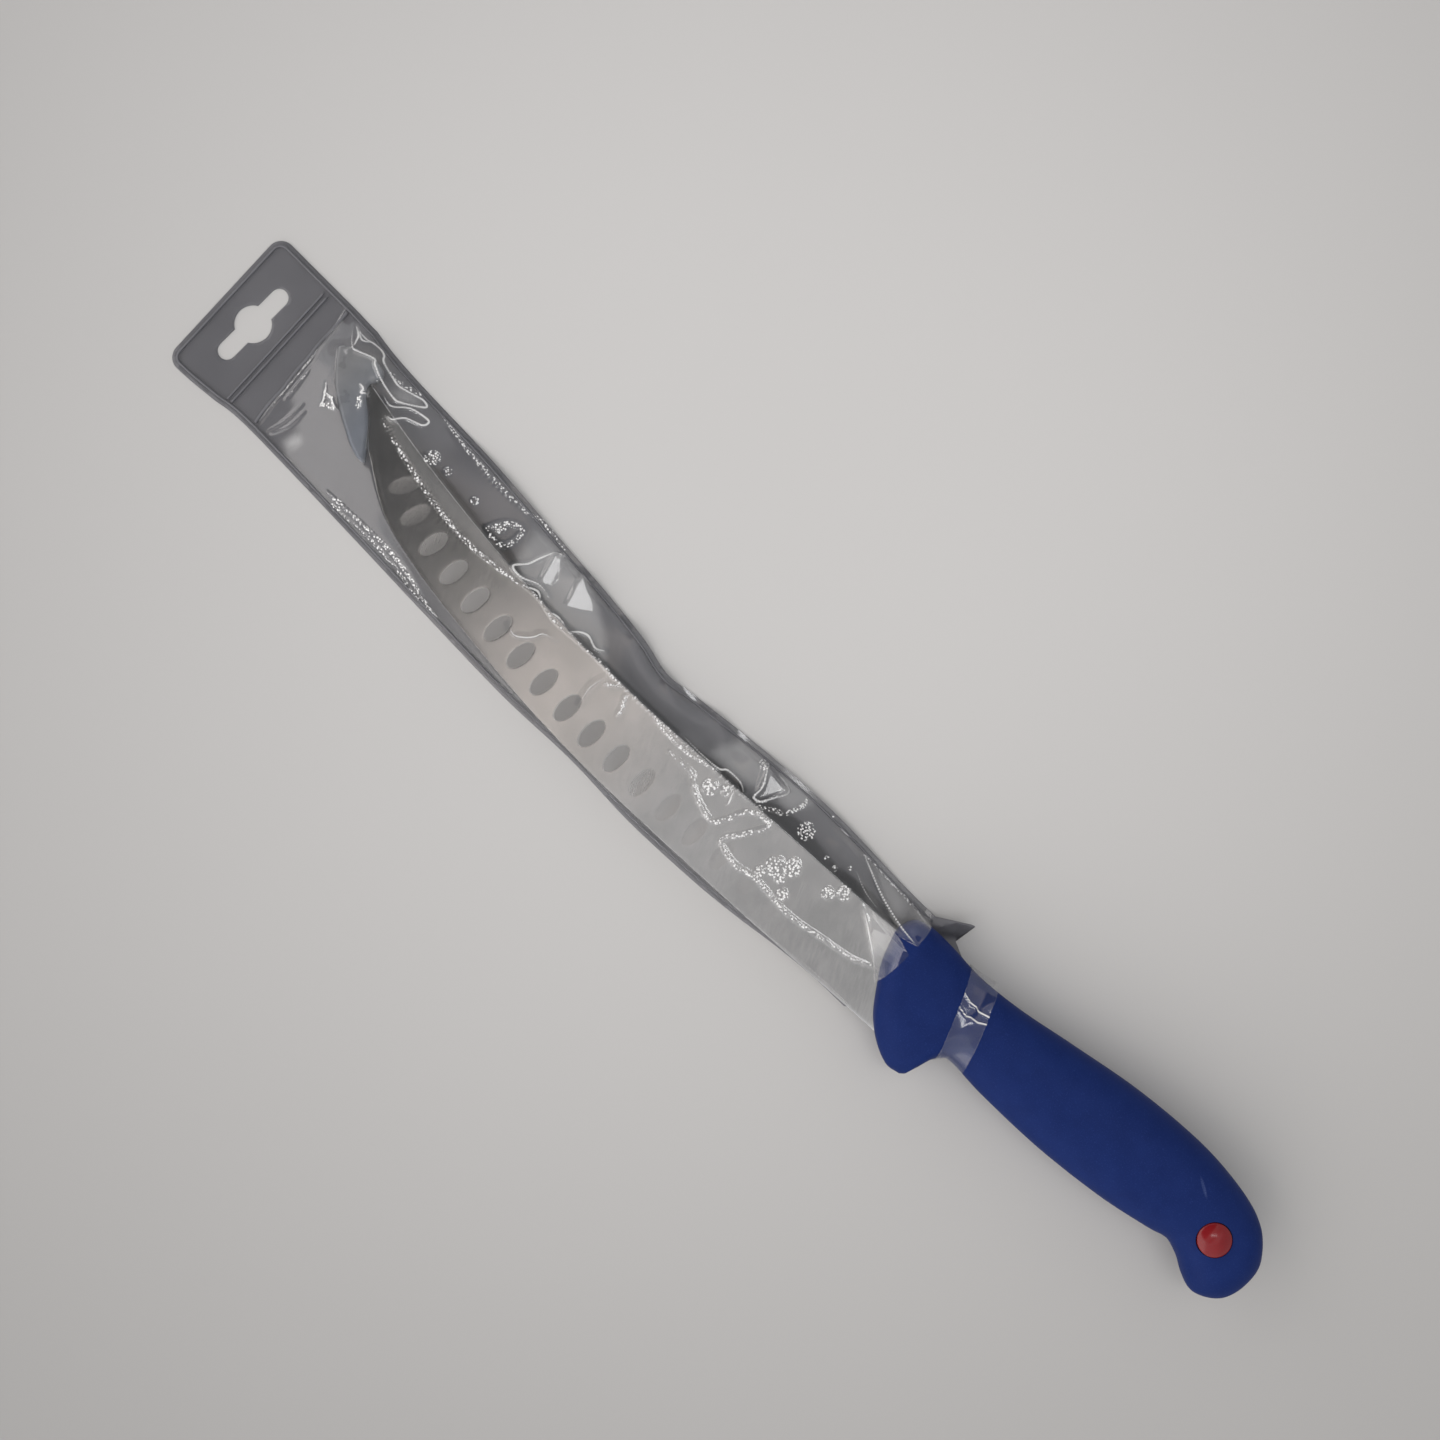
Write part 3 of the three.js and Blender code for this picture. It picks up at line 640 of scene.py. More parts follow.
def handle_finish():
    f = Finish("moulded_blue")
    grain = f.noise(2400, detail=2)
    mottle = f.noise(140, detail=4)
    blue = f.tint(f.spread(mottle), srgb(16, 36, 90), srgb(21, 41, 97))
    speckled = f.tint(f.ramp(grain, 0.55, 0.75, 0, 0.35), blue, srgb(42, 62, 126))
    oval = f.patch(RUB_SIZE, RUB_TURN, RUB_PLACE)
    flat = f.node("ShaderNodeVectorMath", {0: oval, 1: (1, 1, 0)}, operation="MULTIPLY").outputs[0]
    spot = f.node("ShaderNodeTexGradient", {"Vector": flat}, gradient_type="SPHERICAL").outputs["Fac"]
    rub = f.times(f.ramp(spot, 0, 0.6), f.ramp(grain, 0.3, 0.65, 0.1, 0.34))
    shader = f.principled(
        Base_Color=f.tint(rub, speckled, srgb(96, 112, 160)), Roughness=f.spread(mottle, 0.52, 0.6),
        Normal=f.bump(grain, 0.00006, 0.6), Specular_IOR_Level=0.1,
    )
    return f.done(shader)


dress(handle, "knife", "handle", handle_finish())

# %% [markdown]
# ## The end plug
#
# The red plug is a turned button with a low dome. Its profile is a short list of radius and height: the
# stem, a small eased shoulder, and the dome as part of a circle. The shine is that of hard gloss plastic,
# with a trace of handling.

# %% End plug
PLUG_EASE, PLUG_LIP, DOME_STEPS = 0.25, 0.1, 20


def plug_piece():
    radius = PLUG_DIAMETER / 2
    ball = (radius ** 2 + PLUG_DOME ** 2) / (2 * PLUG_DOME)
    slope = np.linspace(math.asin((radius - PLUG_EASE) / ball), 0, DOME_STEPS)
    shoulder = PLUG_SEAT + PLUG_DEPTH
    dome = [[ball * math.sin(a), shoulder + PLUG_DOME - ball * (1 - math.cos(a))] for a in slope]
    stem = [[0, PLUG_SEAT + PLUG_GAP], [radius, PLUG_SEAT + PLUG_GAP], [radius, shoulder - PLUG_LIP]]
    return new_piece("plug_button", *turned(stem + dome))


def plug_finish():
    f = Finish("gloss_red")
    mottle = f.noise(300)
    shader = f.principled(
        Base_Color=f.tint(mottle, srgb(118, 20, 26), srgb(132, 27, 32)),
        Roughness=f.spread(mottle, 0.12, 0.2),
        Normal=f.bump(f.noise(900, detail=2), 0.00001), Specular_IOR_Level=0.4,
    )
    return f.done(shader)


dress(plug_piece(), "knife", "end_plug", plug_finish())

# %% [markdown]
# ## The tip guard
#
# The shoe over the tip is a soft moulding, cloudy and a little blue. A filled Blender curve with a bevel
# gives its rounded outline in one go, and a blade grown by the fit gap then cuts its slot, so that the
# shoe can slide off.

# %% Tip guard mesh
GUARD_THICKNESS, GUARD_ROUND, GUARD_GAP = 4.6, 1.5, 0.3
GUARD_SHARP = 50
CUTTER_REACH, CUTTER_STATIONS, CUTTER_STEPS = 60, 80, 8
GUARD_OUTLINE = [
    [29, -22.2], [27.6, -23.1], [22, -21.6], [12.1, -16.4], [3.9, -10.8], [-3.6, -2.3], [-2, 0.6],
    [0.8, 2.4], [7.2, 4], [13.1, 2.2], [12.7, -4.9], [20.3, -11.8],
]


def guard_piece():
    outline = smooth_points(GUARD_OUTLINE + GUARD_OUTLINE[:1], steps=8)[:-1] + TIP
    curve = bpy.data.curves.new("guard_line", "CURVE")
    curve.dimensions = "2D"
    curve.fill_mode = "BOTH"
    curve.extrude = GUARD_THICKNESS / 2 - GUARD_ROUND
    curve.bevel_depth = GUARD_ROUND
    curve.offset = -GUARD_ROUND
    curve.bevel_resolution = 5
    spline = curve.splines.new("POLY")
    spline.points.add(len(outline) - 1)
    for point, (x, y) in zip(spline.points, outline):
        point.co = (x, y, 0, 1)
    spline.use_cyclic_u = True
    holder = bpy.data.objects.new("guard_line", curve)
    bpy.context.scene.collection.objects.link(holder)
    shape = shape_now(holder)
    points = np.array([v.co for v in shape.vertices])
    faces = [list(p.vertices) for p in shape.polygons]
    bpy.data.objects.remove(holder)
    made = new_piece("tip_shoe", on_knife(points), faces, GUARD_SHARP)
    near_tip = np.linspace(-BLADE_LENGTH - GUARD_GAP, CUTTER_REACH - BLADE_LENGTH, CUTTER_STATIONS)
    cut(made, blade_piece("guard_cutter", near_tip, CUTTER_STEPS, GUARD_GAP), GUARD_SHARP)
    return made


guard = guard_piece()
print("guard has", len(guard.data.vertices), "points")

# %% Tip guard finish
# Painted shade: the guard's colour is painted darker and bluer towards the blade's end, where the steel
# inside shows through
GUARD_FADE = on_table([[-257, 0, 0], [-240, 0, 0]])[:, 0]


def guard_finish():
    f = Finish("cloudy_guard")
    cloud = f.noise(160)
    along = f.node("ShaderNodeSeparateXYZ", {"Vector": f.place()}).outputs["X"]
    # The guard is equally thick all over: the first tone is its grey at the tip end, the second the
    # painted shade towards the blade
    thick = f.tint(f.spread(cloud), srgb(130, 131, 134), srgb(146, 147, 149))
    thin = f.tint(f.spread(cloud), srgb(118, 124, 134), srgb(130, 136, 146))
    shader = f.principled(
        Base_Color=f.tint(f.ramp(along, *GUARD_FADE), thick, thin), Roughness=f.spread(cloud, 0.25, 0.36),
        Alpha=0.87, Normal=f.bump(f.noise(1400, detail=2), 0.00002, 0.6),
    )
    return f.done(shader)


dress(guard, "tip_guard", "tip_guard", guard_finish())

# %% [markdown]
# ## The sleeve's outline
#
# The sleeve is a long pouch of two sheets welded round the rim, with a hanging tab at one end. Its two
# long edges wander a little, as soft sheet does, so they are drawn as heights above the spine and drops
# below the blade. The tab's end was cut a little off square, so points near it are carried along by a
# skew.

# %% Sleeve edges
TAB_LENGTH, TAB_CORNER, TAB_SKEW, TIP_ROOM, MOUTH = 33.3, 5, 1.8, 12, 7.5
POUCH_START = TIP[0] - TIP_ROOM
TAB_END = POUCH_START - TAB_LENGTH
UPPER_LINE = smooth_line([
    [-3, 11.8], [3, 12.6], [15, 15.2], [26, 15.3], [38, 13.5], [43, 12.5], [49, 15.8], [60, 17.9],
    [78, 17.5], [97, 11.6], [105, 11.3], [119, 11.3],
])
LOWER_LINE = smooth_line([
    [-3, 1], [3, 1.4], [9, 3], [15, 5.2], [22, 7], [33, 8.2], [44, 7.3], [56, 8.3], [72, 7.3], [85, 6.2],
    [103, 5.1], [109, 6.6], [114, 7.7], [119, 7.9],
])


def corner_inset(x):
    into = np.clip(TAB_CORNER - (x - TAB_END), 0, TAB_CORNER)
    return TAB_CORNER - np.sqrt(TAB_CORNER ** 2 - into ** 2)


def upper_seam(x):
    return spine_at(np.maximum(x, TIP[0])) + UPPER_LINE(-100 * x / BLADE_LENGTH) - corner_inset(x)


def lower_seam(x):
    return -BLADE_DEPTH - LOWER_LINE(-100 * x / BLADE_LENGTH) + corner_inset(x)


def skewed(plan):
    """Points drawn square to the sleeve, carried along with the tab's end."""
    x, y = plan[..., 0], plan[..., 1]
    down_tab = (upper_seam(x) - y) / np.maximum(upper_seam(x) - lower_seam(x), TINY)
    shift = TAB_SKEW * np.clip(down_tab, 0, 1) * (1 - smoothstep(x, TAB_END, POUCH_START))
    return plan + np.stack([shift, 0 * shift], -1)


print("the sleeve is", round(MOUTH - TAB_END, 1), "mm long")

# %% [markdown]
# ## Folds in soft sheet
#
# The back sheet and the film are both bent along lines, so one function makes a ridge along any given
# line. It falls away on both sides and at both ends.

# %% Ridges along drawn lines
RIDGE_REACH, RIDGE_STEPS = 3, 10
RIDGE_ENDS, END_POWER = (0.02, 0.98), 0.25


def distance_along(x, y, line, reach):
    """How far each point lies from a line, and how far along it; points out of reach are left alone."""
    low, high = line.min(0) - reach, line.max(0) + reach
    near = (x > low[0]) & (x < high[0]) & (y > low[1]) & (y < high[1])
    apart = ((np.stack([x[near], y[near]], -1)[:, None, :] - line[None]) ** 2).sum(-1)
    return near, np.sqrt(apart.min(1)), apart.argmin(1) / (len(line) - 1)


def ridge(x, y, height, width, points):
    """A ridge that is rounded across its line and sinks at both of its ends."""
    near, apart, along = distance_along(x, y, smooth_points(points, RIDGE_STEPS), RIDGE_REACH * width)
    field = np.zeros_like(x)
    ends = np.sin(np.pi * np.clip(along, *RIDGE_ENDS)) ** END_POWER
    field[near] = height * np.exp(-(apart / width) ** 2) * ends
    return field


on_line = ridge(np.zeros(1), np.zeros(1), 1.0, 1.0, [[-5, 0], [0, 0], [5, 0]])
print("a ridge is highest on its line:", float(on_line[0]))

# %% [markdown]
# ## The grey back sheet
#
# The back is one flat sheet of soft grey plastic with the hanging slot punched through its tab. A
# constrained Delaunay mesh fills any outline with even triangles, hole and all, and a height for each
# point then gives the sheet its slow waves, its folds and the corner that stands up at the mouth.

# %% Back sheet outline
SLOT_LENGTH, SLOT_WIDTH, SLOT_HUMP, SLOT_FROM_END = 30.8, 6.3, 12.6, 14.4
TAIL = [[32, -11], [42, -11], [42, 3]]
FLAP = [[26, 7.9], [22.2, 9.6], [18.6, 11.2], [18.2, 18.9], [16.8, 18.4]]
HUMP_STEPS, END_STEPS, CORNER_STEPS, RIM_STEPS = 14, 12, 12, 290


def slot_outline():
    """The hanging slot: a bar with round ends and a round hump in its middle."""
    reach = (SLOT_LENGTH - SLOT_WIDTH) / 2
    radius, hump = SLOT_WIDTH / 2, SLOT_HUMP / 2
    meet = math.asin(radius / hump)
    side = [[hump * math.sin(a), hump * math.cos(a)] for a in np.linspace(meet, np.pi - meet, HUMP_STEPS)]
    end = [[radius * math.cos(a), -reach - radius * math.sin(a)] for a in np.linspace(0, np.pi, END_STEPS)]
    centre = TAB_END + SLOT_FROM_END
    middle = float(upper_seam(centre) + lower_seam(centre)) / 2
    half = np.array(side + end)
    return np.vstack([half, -half]) + [centre, middle]


def rim_line():
    """The sleeve's rim, from the mouth along the lower edge, round the tab and back along the upper."""
    corner = TAB_END + TAB_CORNER * (1 - np.cos(np.linspace(0, np.pi / 2, CORNER_STEPS)))
    xs = np.concatenate([corner, np.linspace(TAB_END + TAB_CORNER, MOUTH, RIM_STEPS)[1:]])
    lower = np.stack([xs, lower_seam(xs)], -1)[::-1]
    upper = np.stack([xs, upper_seam(xs)], -1)
    return skewed(np.vstack([lower, upper]))


def within(x, y, outline):
    """Which points lie inside a closed outline, by counting crossings."""
    inside = np.zeros(np.shape(x), bool)
    for (x0, y0), (x1, y1) in zip(outline, np.roll(outline, -1, axis=0)):
        if y0 == y1:
            continue
        crosses = (y0 > y) != (y1 > y)
        inside ^= crosses & (x < x0 + (y - y0) * (x1 - x0) / (y1 - y0))
    return inside


rim_points = rim_line()
sheet_outline = np.vstack([rim_points, np.array(TAIL + FLAP, float)[::-1]])
slot_line = slot_outline()
print("outline of", len(sheet_outline), "points and a slot of", len(slot_line))

# %% Back sheet heights
SHEET_FOLDS = [
    (3.2, 3.6, [[-130, 7], [-121, 2.5], [-110, 0], [-98, -2]]),
    (2.4, 2.2, [[-112, 5.2], [-106, 2.4], [-101, 1.4], [-92, 2.5]]),
    (2.2, 3.6, [[-152, 8], [-142, 4], [-133, 0]]),
    (2.2, 3.6, [[-92, 8], [-84, 4], [-78, -1]]),
]
FLAP_RIDGE = [[6, 7.5], [8.1, 8.9], [10.2, 10.1], [11.8, 12.8], [13.4, 15.8], [17.2, 19.2]]
FLAP_CREST = [1.5, 3.4, 4.6, 5.8, 7, 9]
FLAP_STEEP, FLAP_GENTLE = 1.3, 0.45
FLAP_PLEAT = (1.3, 1.1, [[9.6, 6.6], [12.7, 9.9], [14.2, 12.2], [17.4, 13.8]])
# The waves: where they begin and end along the pouch and across it, their height and their two lengths
WAVES_BEGIN, WAVES_END, WAVES_ACROSS = (-225, -190), (-20, 0), (0.5, 0.85)
WAVE_HEIGHT, WAVE_SHIFT, SHORT_WAVE, LONG_WAVE = 0.8, 0.8, 17, 41


def flap_height(x, y):
    """The corner at the mouth: a curved crest that climbs to its point, with a gentle and a steep side."""
    line = np.array(FLAP_RIDGE)
    aside = np.full(np.shape(x), np.inf)
    height = np.zeros(np.shape(x))
    for (x0, y0), (x1, y1), z0, z1 in zip(line, line[1:], FLAP_CREST, FLAP_CREST[1:]):
        run = math.hypot(x1 - x0, y1 - y0)
        along = np.clip(((x - x0) * (x1 - x0) + (y - y0) * (y1 - y0)) / run ** 2, 0, 1)
        apart = np.hypot(x - mix(x0, x1, along), y - mix(y0, y1, along))
        steep = np.where((x - x0) * (y1 - y0) > (y - y0) * (x1 - x0), FLAP_STEEP, FLAP_GENTLE)
        height = np.where(apart < aside, mix(z0, z1, along) - steep * apart, height)
        aside = np.minimum(aside, apart)
    return np.maximum(height, 0) + ridge(x, y, *FLAP_PLEAT)


def sheet_height(x, y):
    """How far the sheet's underside stands off the table."""
    across = (y - lower_seam(x)) / np.maximum(upper_seam(x) - lower_seam(x), TINY)
    in_pouch = smoothstep(x, *WAVES_BEGIN) * (1 - smoothstep(x, *WAVES_END))
    wave = WAVE_HEIGHT * (1 + np.sin(x / SHORT_WAVE + WAVE_SHIFT) * np.sin(x / LONG_WAVE))
    for height, width, points in SHEET_FOLDS:
        wave = wave + ridge(x, y, height, width, points)
    return in_pouch * smoothstep(across, *WAVES_ACROSS) * wave + flap_height(x, y)


print("the corner stands", round(float(flap_height(np.array([18.0]), np.array([18.8]))[0]), 1), "mm up")

# %% Back sheet mesh
BACK_FILM = 0.4
SHEET_STEP, SHEET_SHARP = 1.0, 60
# How near the rim an inner point may lie, as a share of the step
RIM_CLEAR = 0.6


def fill(outline, hole, step):
    """Even triangles inside an outline and outside a hole."""
    def covered(points):
        return within(*points.T, outline) & ~within(*points.T, hole)

    low, high = outline.min(0), outline.max(0)
    x, y = np.meshgrid(np.arange(low[0], high[0], step), np.arange(low[1], high[1], step), indexing="ij")
    x = x + (np.arange(y.shape[1]) % 2 - 0.5)[None, :] * step / 2
    inner = np.stack([x.ravel(), y.ravel()], -1)
    inner = inner[covered(inner)]
    rims = np.vstack([outline, hole])
    apart = np.ones(len(inner), bool)
    for rim in rims:
        apart &= ((inner - rim) ** 2).sum(1) > (RIM_CLEAR * step) ** 2
    points = np.vstack([rims, inner[apart]])
    first, second = len(outline), len(hole)
    edges = [[i, (i + 1) % first] for i in range(first)]
    edges += [[first + i, first + (i + 1) % second] for i in range(second)]
    flat, _, triangles, *_ = delaunay_2d_cdt([Vector(p) for p in points], edges, [], 1, TINY)
    flat = np.array([tuple(p) for p in flat])
    keep = covered(flat[np.array(triangles)].mean(1))
    return flat, [list(t) for t, kept in zip(triangles, keep) if kept]


plan, triangles = fill(sheet_outline, slot_line, SHEET_STEP)
sheet_points = np.column_stack([plan, sheet_height(plan[:, 0], plan[:, 1])])
back = new_piece("back_sheet", on_table(sheet_points), triangles, SHEET_SHARP)
thicken(back, BACK_FILM)
print("back sheet:", len(triangles), "triangles")

# %% [markdown]
# ## Weld beads
#
# Where the two sheets were welded, the tool left fine raised lines: one just inside the rim, two across
# the tab and a wrinkled one where the pouch begins. Each is a small half-round section swept along its
# line, joined to the back sheet.

# %% Sweep the beads
BEAD_INSET = 1.9
BEAD_WIDTH, WRINKLE_WIDTH, BEAD_HEIGHT = 0.8, 1.1, 0.45
BEAD_FOOT, BEAD_ROOT = BACK_FILM + 0.15, 0.2
BEAD_SECTION = np.array([[-1, 0], [-0.75, 0.62], [0, 1], [0.75, 0.62], [1, 0]])
TAB_WELDS = [[[-281.4, 15], [-279.2, -32.4]], [[-279.7, 14.8], [-277.5, -32.2]]]
WRINKLED_WELD = [
    [-271.4, 16], [-270.9, 10], [-270.7, 3], [-269.9, -4], [-269.6, -10], [-268.6, -17], [-268.3, -24],
    [-267.2, -31.4],
]


def side_of(line):
    """Unit vectors to the left of a line, at each of its points."""
    along = np.gradient(line, axis=0)
    along /= np.linalg.norm(along, axis=1, keepdims=True)
    return np.stack([-along[:, 1], along[:, 0]], -1)


def bead(line, width=BEAD_WIDTH):
    """Points and faces of a half-round bead along a line on the sleeve."""
    share, rise = BEAD_SECTION.T
    plan = line[:, None, :] + side_of(line)[:, None, :] * (share * width / 2)[None, :, None]
    foot = BEAD_FOOT + sheet_height(plan[..., 0], plan[..., 1])
    tops = np.concatenate([plan, (foot + rise * BEAD_HEIGHT)[..., None]], -1)
    under = np.concatenate([plan[:, 2:3], foot[:, 2:3, None] - BEAD_ROOT], -1)
    rings = np.concatenate([tops, under], axis=1)
    count, sides = rings.shape[:2]
    ends = [list(range(sides)), list(range(sides * (count - 1), sides * count))]
    return on_table(rings), grid_faces(count, sides, wrap=True) + ends


def join(piece, parts):
    """Adds loose points and faces to a piece."""
    joined = bmesh.new()
    joined.from_mesh(piece.data)
    for points, faces in parts:
        added = [joined.verts.new(p) for p in points]
        for face in faces:
            joined.faces.new([added[i] for i in face]).smooth = True
    bmesh.ops.recalc_face_normals(joined, faces=joined.faces)
    joined.to_mesh(piece.data)
    joined.free()


inner_rim = rim_points + BEAD_INSET * -side_of(rim_points)
lines = [inner_rim] + [smooth_points(line, steps=30) for line in TAB_WELDS]
beads = [bead(line) for line in lines] + [bead(smooth_points(WRINKLED_WELD, steps=8), WRINKLE_WIDTH)]
join(back, beads)
print(len(beads), "beads on the sleeve")

# %% [markdown]
# ## Soft grey plastic
#
# The sheet is soft and semi-matt, with a faint pebble and a slow cloudiness.

# %% Back sheet finish
def back_finish():
    f = Finish("grey_sheet")
    cloud = f.noise(35)
    shader = f.principled(
        Base_Color=f.tint(f.spread(cloud), srgb(101, 101, 106), srgb(108, 108, 113)),
        Roughness=f.spread(cloud, 0.36, 0.46), Normal=f.bump(f.noise(700, detail=2), 0.00002, 0.6),
    )
    return f.done(shader)


dress(back, "sleeve", "sleeve_back", back_finish())

# %% [markdown]
# ## The clear front film
#
# The film is welded to the back sheet round the rim and pulled over the knife. It could be draped with
# the cloth solver, but its creases would fall anywhere. Here it is settled instead: a grid of heights is
# pulled tight, each point going to the mean of its neighbours but never below what it lies on. Starting
# on a coarse grid and halving its cells lets the pull reach right across the pouch in few rounds.

# %% What the film lies on
FILM_GAP, SHEET_GAP, BLADE_MARGIN = 0.45, 0.05, 0.2
FILM_ROWS, FILM_COLUMNS = 897, 177
FILM_SHORT, NOSE_START = 0.4, 0.01
NOTCH_MIDDLE, NOTCH_HALF, NOTCH_DEPTH, NOTCH_FROM = -0.7, 1.9, 6.5, -22


def guard_height(x, y):
    inside = within(x, y, np.array(GUARD_OUTLINE) + TIP)
    return np.where(inside, knife_middle(x) + GUARD_THICKNESS / 2, 0)


def blade_height(x, y):
    """The blade's upper face, kept no lower than the guard that has to slide out past it."""
    on_blade = np.maximum(x, TIP[0])
    spine, edge = spine_at(on_blade), edge_at(on_blade)
    covered = (y < spine + BLADE_MARGIN) & (y > edge - BLADE_MARGIN) & (x > TIP[0])
    rise = np.clip((y - edge) / BLADE_DEPTH, 0, 1)
    face = knife_middle(x) + mix(EDGE_STOCK, SPINE_STOCK, rise) / 2
    guard_top = knife_middle(TIP[0] + GUARD_OUTLINE[0][0]) + GUARD_THICKNESS / 2
    return np.where(covered, np.maximum(face, guard_top), 0)


def handle_height(x, y):
    inside = np.clip(x, NOSE_START, HANDLE_LENGTH)
    top, bottom, half = handle_lines(inside)
    across = np.clip(np.abs(y - (top + bottom) / 2) / np.maximum((top - bottom) / 2, TINY), 0, 1)
    rise = half * (1 - across ** SECTION_POWER) ** (1 / SECTION_POWER)
    return np.where((x > 0) & (across < 1), knife_middle(x) + rise, 0)


film_x, film_t = np.meshgrid(
    np.linspace(TAB_END, MOUTH - FILM_SHORT, FILM_ROWS), np.linspace(0, 1, FILM_COLUMNS), indexing="ij"
)
film_low, film_high = lower_seam(film_x), upper_seam(film_x)
film_y = mix(film_low, film_high, film_t)
rim_gap = np.minimum(film_y - film_low, film_high - film_y)
notch = NOTCH_DEPTH * np.clip(1 - np.abs(film_y - NOTCH_MIDDLE) / NOTCH_HALF, 0, 1)
film_x = skewed(np.stack([film_x, film_y], -1))[..., 0] - notch * smoothstep(film_x, NOTCH_FROM, MOUTH)
on_sheet = BACK_FILM + sheet_height(film_x, film_y) + SHEET_GAP
heights = [height(film_x, film_y) for height in (blade_height, guard_height, handle_height)]
under = np.maximum(np.maximum.reduce(heights) + FILM_GAP, on_sheet)
print("the film rises to", round(float(under.max()), 1), "mm")

# %% Pull the film tight
WELD_WIDTH = 2
# Where the film clings to the flat of the blade, by the heel
CLING = [
    [-60, -26], [0, -40], [20, -40], [11.5, -21.9], [3.5, -13.1], [-4.4, -7.7], [-13.1, -2.6], [-60, -6],
]
PULL_ROUNDS = ((16, 900), (8, 500), (4, 300), (2, 160), (1, 80))


def weld_line(y):
    line = np.array(WRINKLED_WELD)[::-1]
    return np.interp(y, line[:, 1], line[:, 0])


def finer(grid):
    """The same heights on a grid with half the cell."""
    rows, columns = grid.shape
    wide = np.empty((2 * rows - 1, 2 * columns - 1))
    wide[::2, ::2] = grid
    wide[1::2, ::2] = (grid[:-1] + grid[1:]) / 2
    wide[:, 1::2] = (wide[:, :-2:2] + wide[:, 2::2]) / 2
    return wide


def neighbour_mean(grid):
    """The mean of each point's four neighbours."""
    padded = np.pad(grid, 1, mode="edge")
    return (padded[:-2, 1:-1] + padded[2:, 1:-1] + padded[1:-1, :-2] + padded[1:-1, 2:]) / 4


def settle(under, fixed, fixed_height):
    """Heights pulled tight over what is under them, from a coarse grid to the full one."""
    tight = None
    for stride, rounds in PULL_ROUNDS:
        floor, held, rest = (field[::stride, ::stride] for field in (under, fixed, fixed_height))
        tight = floor.copy() if tight is None else finer(tight)
        for _ in range(rounds):
            tight = np.where(held, rest, np.maximum(neighbour_mean(tight), floor))
    return tight


welded = (rim_gap < WELD_WIDTH) | (film_x < weld_line(film_y))
clinging = within(film_x, film_y, CLING) & (blade_height(film_x, film_y) > 0)
film_z = settle(under, welded | clinging, np.where(welded, on_sheet, under))
print("film height over mid blade:", round(float(film_z[FILM_ROWS // 2, FILM_COLUMNS // 2]), 2), "mm")
